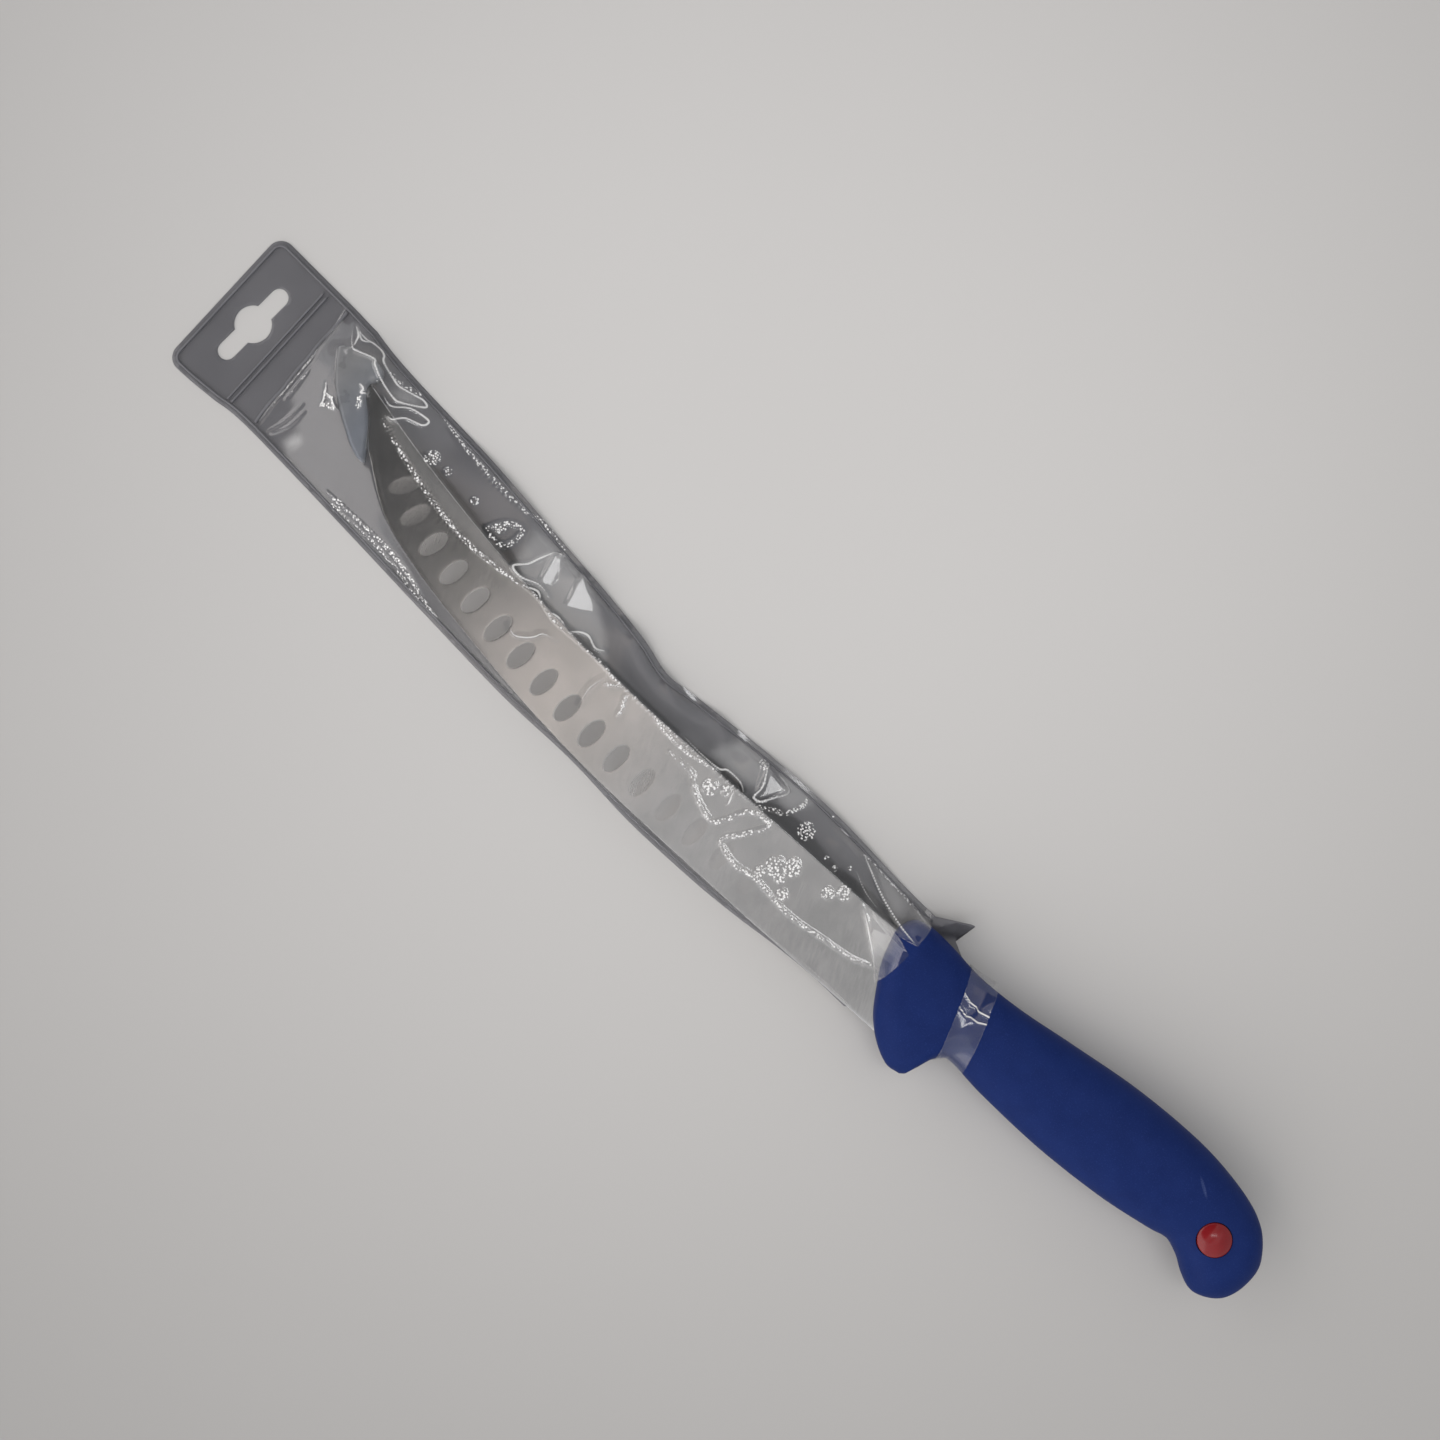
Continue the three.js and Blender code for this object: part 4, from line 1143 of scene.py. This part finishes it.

# %% [markdown]
# ## Creases, facets and beads
#
# Clear film is seen only by its highlights, and those sit on its creases. Each crease is a short line
# drawn with a height and a width. A facet is a patch pulled flat: flat facets are what make film
# look stiff. All fade out at the welds, where the film is held. Each point also keeps marks for the
# finish, which are painted light and shade: how strong a painted glint line it lies on, how strong its
# painted glint beads are, how much painted reflection whitens it, and how much painted shade darkens it
# along the spine.

# %% Draw the creases
# Each crease: height and half width in mm, how strong its painted glint line and its painted glint beads
# are from 0 to 1, then its points
CREASES = [
    (0.6, 0.8, 1, 0, [[-269, 17], [-263.5, 14.5], [-259.7, 14.1], [-257.2, 14.8], [-254.1, 15],
        [-252, 14.3], [-249.9, 12.7], [-243.6, 11.1], [-240.6, 10.8], [-235.2, 12.4], [-232.7, 13.1],
        [-230.4, 12.6], [-231, 11.2], [-236.2, 7.4], [-238.7, 6.7], [-244.6, 7.8], [-250.2, 10.1],
        [-252.3, 11.3], [-257.4, 9.4], [-259.7, 9], [-264.2, 12], [-268, 16.5]]),
    (0.4, 0.6, 0.9, 0, [[-266, 15], [-262.5, 13.1], [-261.1, 11.3], [-260, 9.7]]),
    (0.4, 0.6, 0.8, 0, [[-263.6, 14.3], [-260.4, 12.9], [-258.1, 14.3]]),
    (0.6, 0.8, 1, 0.3, [[-241.3, 5], [-237.3, 4.3], [-233.1, 8.1], [-228.5, 9.4], [-225.8, 9.4],
        [-226.2, 7.1], [-231.3, 4.8], [-233.6, 1.6], [-236, 1.2]]),
    (0.3, 0.8, 0.3, 0.9, [[-246.4, 12], [-243.2, 11.7], [-237.8, 12.9], [-233.6, 14.5]]),
    (0.4, 0.6, 1, 0, [[-249.6, 2.4], [-247.6, 2], [-247.1, 0.6], [-246, 1.5]]),
    (0.3, 0.6, 0.5, 1, [[-247, -0.6], [-245.5, -1.9], [-244.6, -4]]),
    (0.4, 0.7, 0.9, 0.6, [[-258.4, -5], [-256, -8.2], [-254.8, -10.2], [-254.4, -12.6]]),
    (0.4, 0.7, 0.9, 0.8, [[-256, -7.8], [-253.4, -7.5], [-251.6, -8.4], [-249.4, -9]]),
    (0.4, 0.8, 0.2, 1, [[-254.4, -11.6], [-253, -10.2], [-251.3, -10], [-249.8, -9.3]]),
    (0.5, 0.7, 0.75, 0, [[-273, 17.6], [-271.6, 11.8], [-269.6, 4.6]]),
    (0.5, 0.7, 0.6, 0.5, [[-269.8, 5], [-269.2, 0], [-268.4, -6], [-267.8, -13.5], [-267.3, -21],
        [-266, -32]]),
    (0.4, 0.7, 0, 0.5, [[-266.4, -6], [-265.8, -11.4], [-265.4, -18.4]]),
    (0.3, 0.7, 0.6, 0, [[-259.6, -16], [-260.4, -24.6], [-262.4, -31.4]]),
    (0.3, 0.7, 0.6, 0, [[-257.4, -17.4], [-258.2, -24.4], [-261, -30.6]]),
    (0.7, 1.0, 0, 1, [[-225, 14], [-214, 12.4], [-203, 11.3], [-184, 11], [-176, 12.6], [-163, 11.3]]),
    (0.35, 1.0, 0, 1, [[-236, -0.8], [-225, -4], [-216, -6], [-202, -8.6], [-187, -9.5], [-180, -9],
        [-172, -8.1], [-162.4, -6]]),
    (0.8, 1.0, 0, 1, [[-234, -31], [-218, -30], [-206, -29.6], [-195, -30.8], [-186, -33.3],
        [-179, -34.3]]),
    (0.6, 0.8, 0, 0.9, [[-226, -32.4], [-210, -31.6], [-198, -32.6], [-186, -35]]),
    (0.7, 0.9, 0, 1, [[-187, -1.8], [-184, 3.8], [-179, 6.4], [-177.6, 2.4], [-179, -1.8], [-183, -2.8],
        [-187, -1.8]]),
    (0.8, 0.7, 1, 0, [[-157.2, -3], [-161.9, -2.8], [-167.5, -5.1], [-171.9, -4.4], [-169.1, -0.3],
        [-167.7, 3.9], [-165.4, 8.5], [-161.2, 9.9]]),
    (0.4, 0.6, 1, 0, [[-163.4, -5.8], [-160.5, -4.6], [-158, -5.6]]),
    (0.5, 0.7, 1, 0.3, [[-143.6, -6.6], [-141.1, -4.2], [-138.3, -3.2], [-134, -4.4], [-131, -2.8]]),
    (0.4, 0.7, 0.6, 0.6, [[-174, -8.3], [-166.3, -6.9], [-158.7, -6], [-150.1, -7.6], [-141.8, -7.1],
        [-130.5, -6.5], [-121.7, -6.9], [-104.2, -6.4], [-90, -5.6], [-66.8, -4.2], [-58.8, -2.9]]),
    (0.3, 0.6, 0.8, 0.3, [[-152.4, -6.4], [-149.4, -5.8], [-145.6, -6.2]]),
    (0.3, 0.9, 0.75, 0, [[-159.4, -19.2], [-156.1, -20.1], [-153.3, -18.7], [-150.8, -16.1],
        [-149.2, -13.1], [-145, -11.8]]),
    (0.35, 0.9, 0.8, 0.7, [[-124, -10.7], [-118.4, -7]]),
    (0.35, 0.9, 0.8, 0.7, [[-116, -8], [-114, -11.6], [-113, -15]]),
    (0.3, 1.2, 0.7, 0, [[-125, -9], [-126, -15], [-124.6, -21]]),
    (0.3, 0.8, 0.8, 0.9, [[-104.2, -6.6], [-99.2, -7.5], [-90, -7.3], [-82.4, -5.7], [-78, -4.3]]),
    (0.35, 0.9, 0.6, 1, [[-92.8, -11], [-87.7, -11], [-82.6, -11], [-79.4, -13.3], [-74.6, -15.8],
        [-67.5, -17.4], [-64.5, -14], [-61.3, -7.1], [-56.5, -4.6], [-53.1, -5.3], [-54.7, -9.2],
        [-57.6, -14], [-60.2, -17.9], [-59.5, -20.4], [-51.7, -22], [-44, -20.4], [-33, -21.2],
        [-23.5, -20.5], [-14.4, -18.7], [-4, -16.6], [3.5, -13.1]]),
    (0.3, 0.7, 0.9, 0.4, [[-69, -5.8], [-67.9, -8.2], [-67.3, -10]]),
    (0.6, 0.8, 0.9, 0.3, [[-93.7, -4.3], [-85.2, -4.4], [-77.8, -3.7], [-75.1, -2], [-69.6, -1.9],
        [-66.4, -3.6]]),
    (0.5, 0.7, 0.9, 0.6, [[-69.4, 9], [-66.3, 7.1], [-63.4, 2.3], [-63.1, -2], [-60.6, -1.8],
        [-58.1, 2.5], [-56, 6.9], [-60.4, 8.5], [-65.4, 7.6]]),
    (0.6, 0.8, 0.3, 1, [[-60, -3.2], [-55.1, -0.4], [-52.1, 1.2], [-49.4, 7], [-50.2, 11.4]]),
    (0.5, 0.7, 0.9, 0, [[-35.4, 10.6], [-32, 10.8], [-29.6, 11.3]]),
    (1.0, 0.7, 1, 0.2, [[-24.3, 10.3], [-18.5, 7.8], [-10.1, 4.4], [-1, 2.1], [6.4, 1.2]]),
    (0.5, 0.7, 0.8, 0.8, [[-24.3, 9.2], [-20.2, 10.6], [-15.3, 10.2], [-10.4, 9.8], [-2.9, 9.6],
        [5.8, 8.4]]),
    (0.5, 1.0, 0.75, 0, [[-22.9, 4.8], [-15.6, 1.6], [-8.1, 0.5]]),
    (0.3, 0.9, 0.85, 0, [[-13.1, -2.3], [-8.7, -4.8], [-4.4, -7.7], [-0.5, -10.3], [3.5, -13.1]]),
]
print(len(CREASES), "creases drawn")

# %% Draw the swells, facets and patches of beads
# Each swell: place, half length, half width and height in mm
SWELLS = [(-156, 7.5, 15, 4.5, 3), (-72, 7, 8, 4.5, 2.5), (-30, 8, 8, 4, 2)]
# Each facet: its slopes along x and y, then its corners
FACETS = [
    (-0.15, -0.10, [[-162.4, -0.5], [-159.6, -1.4], [-159.6, 1.4], [-163.5, 9.9], [-164.9, 7.1]]),
    (-0.14, -0.10, [[-154, 9.7], [-150.6, -1.2], [-144.1, 3.4]]),
    (-0.03, -0.10, [[-67, 7.4], [-63.1, -1], [-60.4, -0.6], [-57, 6.6]]),
]
# Each patch of painted glint beads on a low swell: place and radius in mm
PATCHES = [
    (-215.9, 2, 3.4), (-209.2, 2.3, 2), (-196.2, 1.8, 1.8), (-43, 2.1, 4), (-42, -13, 4.5),
    (-38, -9.4, 4), (-44.5, -17.6, 2.6), (-34.3, -18.1, 2.8), (-38.6, -14.6, 2.6), (-20.4, -3.4, 3.2),
    (-24, -7.2, 2.8), (-75.5, -9.9, 3.6), (-71, -7, 2.4), (-32.2, 0.5, 1.2), (-28.1, 0, 1.2),
    (-24.3, 3.5, 1), (-39.3, 11.3, 1), (-228.7, -31.5, 3), (-184, 1.4, 2.6), (-68, 7.6, 2.4),
]
print(len(SWELLS), "swells,", len(FACETS), "facets and", len(PATCHES), "patches of beads drawn")

# %% Draw the zones of painted light and painted shade
# Each zone of painted reflection: how much light it adds from 0 to 1, then its corners
PALES = [
    (0.16, [[-242, 8], [-237, 7.6], [-231, 12.4], [-236, 11.6]]),
    (0.3, [[-255.6, -29.4], [-253, -30], [-251.4, -24.4], [-253.6, -24.2]]),
    (0.15, [[-172, -3.6], [-150, -5.6], [-128, -5.6], [-133.5, -0.2], [-148.5, 8], [-160, 11],
        [-176, 9]]),
    (0.05, [[-236, -0.6], [-213, -5.9], [-198, -7.8], [-171, -7.6], [-163, -5.8], [-178, -4.6],
        [-205, -1.9], [-236, 3]]),
    (0.13, [[-84, -2], [-70, -1.4], [-64, 1], [-66, 9], [-78, 9]]),
    (0.16, [[-62, 12], [-57, 3], [-52, 3], [-47, 10.5]]),
    (0.13, [[-20, 11], [-10, 5], [-2, 3], [-2, 9]]),
    (0.14, [[-13.1, -2.3], [-4.4, -7.7], [3.5, -13.1], [0, -5], [-2, -0.5]]),
    (0.12, [[-20, 3.4], [-12, 0.6], [-6, 0.2], [-13, 2.6]]),
]
# Each zone of painted shade along the spine: how much light it keeps back from 0 to 1, then its corners
FOLDED = [
    (0.3, [[-225, 0.6], [-205, -1.6], [-190, -3.3], [-172, -4.8], [-176, -1.2], [-190, -1.6],
        [-205, 0.4]]),
    (0.4, [[-182, -4.2], [-167, -5.2], [-171, -2.6], [-178, -0.8]]),
    (0.5, [[-163.4, -5.4], [-157, -5.7], [-158.6, -4.4], [-161.4, -4.2]]),
    (0.5, [[-143, -6.2], [-131, -6.2], [-132, -4.4], [-137, -3.6], [-141, -4.6]]),
    (0.4, [[-157, -5.6], [-120, -6], [-95, -5.2], [-95, -4.4], [-120, -5.2], [-157, -4.8]]),
    (0.5, [[-95, -5.2], [-66, -3.5], [-66.5, -2.4], [-70, -2.1], [-76, -2.6], [-85, -4]]),
    (0.25, [[-66, -3.5], [-30, -1.5], [-28, 1], [-45, 3], [-56, 1.6], [-62, -1.5]]),
    (0.35, [[-30, -1.5], [-1, 0.2], [-2, 2.5], [-14, 3], [-26, 1.6]]),
]
print(len(PALES), "pale zones and", len(FOLDED), "folded zones drawn")

# %% Facets and zones on the film
SKIRT = 1.6
PALE_SOFT, FOLD_SOFT = 30, 6


def outside(corners):
    """How far each point of the film lies outside a patch, below 0 inside it."""
    corners = np.array(corners, float)
    away = np.full_like(film_x, -np.inf)
    for start, end in zip(corners, np.roll(corners, -1, axis=0)):
        out = np.array([end[1] - start[1], start[0] - end[0]]) / np.linalg.norm(end - start)
        away = np.maximum(away, (film_x - start[0]) * out[0] + (film_y - start[1]) * out[1])
    return away


def facet(z, slope, corners):
    """Lifts a patch to a flat facet with a short skirt round it."""
    away = outside(corners)
    plane = slope[0] * film_x + slope[1] * film_y
    plane += (z - plane)[away < 0].max()
    return mix(z, np.maximum(z, plane), 1 - smoothstep(away, 0, SKIRT))


def zones(listed, soft):
    """The strongest of the zones at each point, with soft borders."""
    field = np.zeros_like(film_x)
    for strength, corners in listed:
        field = np.maximum(field, strength * within(film_x, film_y, corners))
    for _ in range(soft):
        field = neighbour_mean(field)
    return field


# Painted reflection whitens the film in the pale zones, and painted shade darkens it along the spine
pale, folded = zones(PALES, PALE_SOFT), zones(FOLDED, FOLD_SOFT)
print("pale up to", round(float(pale.max()), 2), "and folded up to", round(float(folded.max()), 2))

# %% Lay the folds on the film
BEAD_REACH, LINE_REACH = 0.85, 0.42
PATCH_SWELL, PATCH_CORE = 0.25, 0.5
RIM_FADE, WELD_FADE = 3, 2

from_rim = smoothstep(rim_gap, WELD_WIDTH, WELD_WIDTH + RIM_FADE)
free = from_rim * smoothstep(film_x - weld_line(film_y), 0, WELD_FADE)
folds, beaded, lined = (np.zeros_like(film_z) for _ in range(3))
for x, y, along, across, height in SWELLS:
    film_z += free * height * np.exp(-((film_x - x) / along) ** 2 - ((film_y - y) / across) ** 2)
for slope_x, slope_y, corners in FACETS:
    film_z = facet(film_z, (slope_x, slope_y), corners)
for height, width, plain, chain, points in CREASES:
    folds = np.maximum(folds, ridge(film_x, film_y, height, width, points))
    beaded = np.maximum(beaded, ridge(film_x, film_y, chain, BEAD_REACH, points))
    lined = np.maximum(lined, ridge(film_x, film_y, plain, LINE_REACH, points))
for x, y, radius in PATCHES:
    swell = 1 - smoothstep(np.hypot(film_x - x, film_y - y), PATCH_CORE * radius, radius)
    folds = np.maximum(folds, PATCH_SWELL * swell)
    beaded = np.maximum(beaded, swell)
film_z = np.where(welded, on_sheet, np.maximum(film_z + free * folds, under))
print("the folds stand up to", round(float((free * folds).max()), 2), "mm")

# %% Film mesh
FRONT_FILM, FILM_SHARP = 0.2, 80
SLOT_CUTTER_HALF = 5


def slot_cutter():
    """A prism through the tab, with the hanging slot's outline."""
    count = len(slot_line)
    levels = (-SLOT_CUTTER_HALF, SLOT_CUTTER_HALF)
    points = np.vstack([np.column_stack([slot_line, np.full(count, z)]) for z in levels])
    ends = [list(range(count)), list(range(count, 2 * count))]
    return new_piece("slot_cutter", on_table(points), grid_faces(2, count, wrap=True) + ends)


film = new_piece(
    "front_film", on_table(np.stack([film_x, film_y, film_z], -1)), grid_faces(FILM_ROWS, FILM_COLUMNS),
    FILM_SHARP, beaded=beaded, lined=lined, pale=pale, folded=folded,
)
thicken(film, FRONT_FILM)
cut(film, slot_cutter(), FILM_SHARP)
print("film:", len(film.data.polygons), "faces")

# %% [markdown]
# ## Clear film
#
# Most light goes straight through, a little is scattered as haze, and the rest is mirrored: about a
# twenty-fifth head on and more at a slant. Schlick's rule gives that share from the angle, alike on both
# sides of the film. The glints on the creases are painted highlights: thin white lines and chains of
# small white beads laid into the haze where the marks say so, beside painted reflection in the pale
# zones and painted shade along the spine.

# %% Film finish
BEADS_PER_METRE, BEAD_RISE = 1150.0, 0.00012
FILM_HAZE, BAND_HAZE = 0.012, 0.005
CLEAR, FOLDED_DOUBLE, VEIL = (0.985, 0.985, 0.985), (0, 0, 0), (0.9, 0.9, 0.9, 1)
HEAD_ON, AT_A_SLANT, SCHLICK_POWER = 0.04, 0.9, 5.0


def film_finish(name, haze):
    f = Finish(name)
    cells = f.node("ShaderNodeTexVoronoi", {"Vector": f.place(), "Scale": BEADS_PER_METRE})
    beads = f.ramp(cells.outputs["Distance"], 0.34, 0.48, 1, 0)
    broken = f.ramp(f.noise(420, detail=2), 0.36, 0.48, 0.4, 1.0)
    # Painted highlights: the creases' glints are painted as white beads and lines that thicken the haze
    white = f.times(beads, f.ramp(f.times(f.mark("beaded"), broken), 0.3, 0.6))
    lined = f.ramp(f.mark("lined"), 0.4, 0.8, 0, 0.75)
    # How much white haze shows: the real haze, or more where painted reflection and painted glints are
    # laid in
    cloud = f.math("MAXIMUM", f.math("MAXIMUM", white, lined), f.plus(f.mark("pale"), haze))
    normal = f.bump(white, BEAD_RISE)
    # Painted shade: the film lets less light through in the zones along the spine, darkening what lies
    # under it
    through = f.tint(f.mark("folded"), CLEAR, FOLDED_DOUBLE)
    clear = f.node("ShaderNodeBsdfTransparent", {"Color": through})
    veil = f.node("ShaderNodeBsdfDiffuse", {"Color": VEIL})
    body = f.node("ShaderNodeMixShader", {0: cloud, 1: clear.outputs[0], 2: veil.outputs[0]})
    shine = f.node("ShaderNodeBsdfGlossy", {"Color": (1, 1, 1, 1), "Roughness": 0.1, "Normal": normal})
    slant = f.node("ShaderNodeLayerWeight", {"Blend": 0.5, "Normal": normal}).outputs["Facing"]
    share = f.ramp(f.math("POWER", slant, SCHLICK_POWER), 0, 1, HEAD_ON, AT_A_SLANT)
    return f.done(f.node("ShaderNodeMixShader", {0: share, 1: body.outputs[0], 2: shine.outputs[0]}))


dress(film, "sleeve", "sleeve_front", film_finish("clear_film", FILM_HAZE))

# %% [markdown]
# ## The neck band
#
# A clear band goes round the handle's neck and under it, where it is welded to the sleeve's tail. It
# follows the handle's own form, cut to a slanted strip, and stands off a little at the spine side, where
# it is slack. Each ring is found by turns: its points slide along the handle until they lie on the
# slanted line.

# %% Neck band
BAND_WIDTH, BAND_GAP, BAND_FILM = 10, 0.35, 0.3
BAND_MIDDLE, BAND_SLANT = 37, math.tan(math.radians(22))
# The slack: how far the band stands off, and where on the ring it does
BAND_SLACK, SLACK_ACROSS, SLACK_OUT = 2.2, (0.45, 1), (-0.6, 0.3)
BAND_SIDES, BAND_STEPS, BAND_ROUNDS = 288, 41, 40
# The creases: how strong their painted glint lines and painted glint beads are from 0 to 1, their half
# width and height in mm
BAND_LINED, BAND_BEADED, BAND_REACH, BAND_RIDGE = 0.85, 0.4, 0.3, 0.3
# Each crease on the band: its line as share of the width and y in mm
BAND_CREASES = [
    [[0, 1.2], [0.3, 0.4], [0.5, 0.8], [0.62, 0.2], [1, 1.4]],
    [[0, -3], [0.3, -3.6], [0.45, -2.8], [0.7, -2.4], [1, -0.8]],
]


def band_piece():
    across, out = ring_shares(BAND_SIDES)
    top, bottom, _ = handle_lines(BAND_MIDDLE)
    centre = float(top + bottom) / 2
    slack = BAND_SLACK * smoothstep(across, *SLACK_ACROSS) * smoothstep(out, *SLACK_OUT)
    rings, lines = [], []
    for share in np.linspace(0, 1, BAND_STEPS):
        offset = (share - 0.5) * BAND_WIDTH / math.cos(math.atan(BAND_SLANT))
        gap = BAND_GAP + slack * share
        x = np.full(BAND_SIDES, BAND_MIDDLE + offset)
        for _ in range(BAND_ROUNDS):
            y = handle_skin(x, across, out, gap)[:, 1]
            x = (x + BAND_MIDDLE + offset - (y - centre) * BAND_SLANT) / 2
        lined = np.zeros(BAND_SIDES)
        for line in BAND_CREASES:
            at = np.interp(share, *np.transpose(line))
            lined = np.maximum(lined, BAND_LINED * np.exp(-((y - at) / BAND_REACH) ** 2) * (out > 0))
        rings.append(handle_skin(x, across, out, gap + BAND_RIDGE * lined))
        lines.append(lined)
    lined = np.array(lines)
    # The crease marks raise the band's ridges and carry its painted glints
    return new_piece(
        "neck_band", on_knife(rings), grid_faces(BAND_STEPS, BAND_SIDES, wrap=True), FILM_SHARP,
        beaded=BAND_BEADED * lined, lined=lined,
    )


band = band_piece()
thicken(band, BAND_FILM)
dress(band, "sleeve", "neck_strap", film_finish("clear_band", BAND_HAZE))

# %% [markdown]
#
# A sheet keeps the area that it was cut to.

# %% [markdown]
# ## Table and light
#
# The knife lies on a pale table, whose colour is painted palest in the middle and darker further out, as
# a painted pool of light. The room's light is a dome with a pattern: a bright window on the left, dimmer
# walls on the right, and overhead a warm lit strip with darker ceiling on both sides of it, which grows
# lighter again past the handle. The steel mirrors the ceiling, and the film mirrors the window. A soft
# light from above fills the dome out, and a long lamp puts the brightest glints on the film's flat facets
# and a bar of light on the plug.

# %% Table
TABLE_HALF = 3.0
TABLE_DROP = 0.0002
TABLE_PALE = (-0.074, 0.084, 0)
PALE_REACH = (0.03, 0.5)


def table_finish():
    f = Finish("pale_table")
    # Painted light: the colour is painted palest at the middle and darker further out, as a pool of light
    away = f.node("ShaderNodeVectorMath", {0: f.place(), 1: TABLE_PALE}, operation="DISTANCE")
    fade = f.eased(away.outputs["Value"], *PALE_REACH)
    cloud = f.noise(4)
    pale = f.tint(cloud, srgb(206, 205, 204), srgb(209, 208, 207))
    dim = f.tint(cloud, srgb(168, 167, 166), srgb(171, 170, 169))
    return f.done(f.principled(Base_Color=f.tint(fade, pale, dim), Roughness=0.7, Specular_IOR_Level=0.2))


square = np.array([[-1, -1, 0], [1, -1, 0], [1, 1, 0], [-1, 1, 0]]) * TABLE_HALF - [0, 0, TABLE_DROP]
table = new_piece("table", square, [[0, 1, 2, 3]])
table.data.materials.append(table_finish())
table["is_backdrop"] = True
print("table is", 2 * TABLE_HALF, "m wide")

# %% Room light
WINDOW_SIDE = (-0.6, -0.8)
OVERHEAD_TILT, WINDOW_WARMTH = 0.2, 0.5
COOL, WARM = (0.985, 0.99, 1.0), (1.0, 0.91, 0.845)


def room_light(world):
    f = Finish("room", world)
    way = f.node("ShaderNodeSeparateXYZ", {"Vector": f.node("ShaderNodeTexCoord").outputs["Generated"]})
    x, y, up = (way.outputs[axis] for axis in "XYZ")
    left = f.plus(f.times(x, WINDOW_SIDE[0]), f.times(y, WINDOW_SIDE[1]))
    window = f.times(f.eased(left, 0.36, 0.5, 0, 0.9), f.eased(up, 0.15, 0.35))
    walls = f.plus(f.eased(left, -0.6, 0.75, 0.5, 1.05), window)
    strip = f.eased(x, -0.25, -0.15, 0.06, 0.8)
    beside = f.plus(f.eased(x, -0.11, -0.06, 0, 0.24), f.eased(x, 0.0, 0.06, 0, 0.12))
    far = f.eased(x, 0.12, 0.3, 0, 0.4)
    ceiling = f.plus(f.math("SUBTRACT", strip, beside), far)
    tilted = f.plus(up, f.times(f.math("SUBTRACT", y, x), OVERHEAD_TILT))
    overhead = f.eased(tilted, 0.78, 0.84)
    level = f.node("ShaderNodeMix", {0: overhead, 2: walls, 3: ceiling}).outputs[0]
    strip_warmth = f.times(f.ramp(x, -0.24, -0.17), f.ramp(x, -0.12, -0.04, 1, 0.15))
    warmth = f.math("MAXIMUM", f.times(strip_warmth, overhead), f.times(window, WINDOW_WARMTH))
    colour = f.tint(warmth, COOL, WARM)
    f.done(f.node("ShaderNodeBackground", {"Color": colour, "Strength": level}), "ShaderNodeOutputWorld")


room = bpy.data.worlds.new("room")
room.use_nodes = True
room_light(room)
bpy.context.scene.world = room
print("room light set")

# %% Lamps
FILL_PLACE, FILL_SIZE, FILL_RADIANCE = (0, 0, 2.2), (2.4, 2.4), 0.45
LAMP_PLACE, LAMP_SIZE, LAMP_RADIANCE = (0.22, 0.34, 1.8), (0.75, 0.2), 4.8


def area_light(name, place, size, radiance):
    light = bpy.data.lights.new(name, "AREA")
    light.shape = "RECTANGLE"
    light.size, light.size_y = size
    light.energy = radiance * math.pi * size[0] * size[1]
    holder = bpy.data.objects.new(name, light)
    holder.location = place
    holder.rotation_euler = (0, 0, PICTURE_TURN)
    bpy.context.scene.collection.objects.link(holder)
    print(name, "of", round(light.energy, 2), "W")
    return holder


area_light("fill", FILL_PLACE, FILL_SIZE, FILL_RADIANCE).visible_glossy = False
area_light("lamp", LAMP_PLACE, LAMP_SIZE, LAMP_RADIANCE)

# %% [markdown]
# ## The two boxes
#
# Both boxes are printed: that of the looks and that of the solid model. The looks may not outgrow the
# solid model.

# %% Finish
low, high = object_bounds()
for kind, box in (("visual", high - low), ("solid", cad_high - cad_low)):
    print(kind, "box:", [round(x, 4) for x in box])
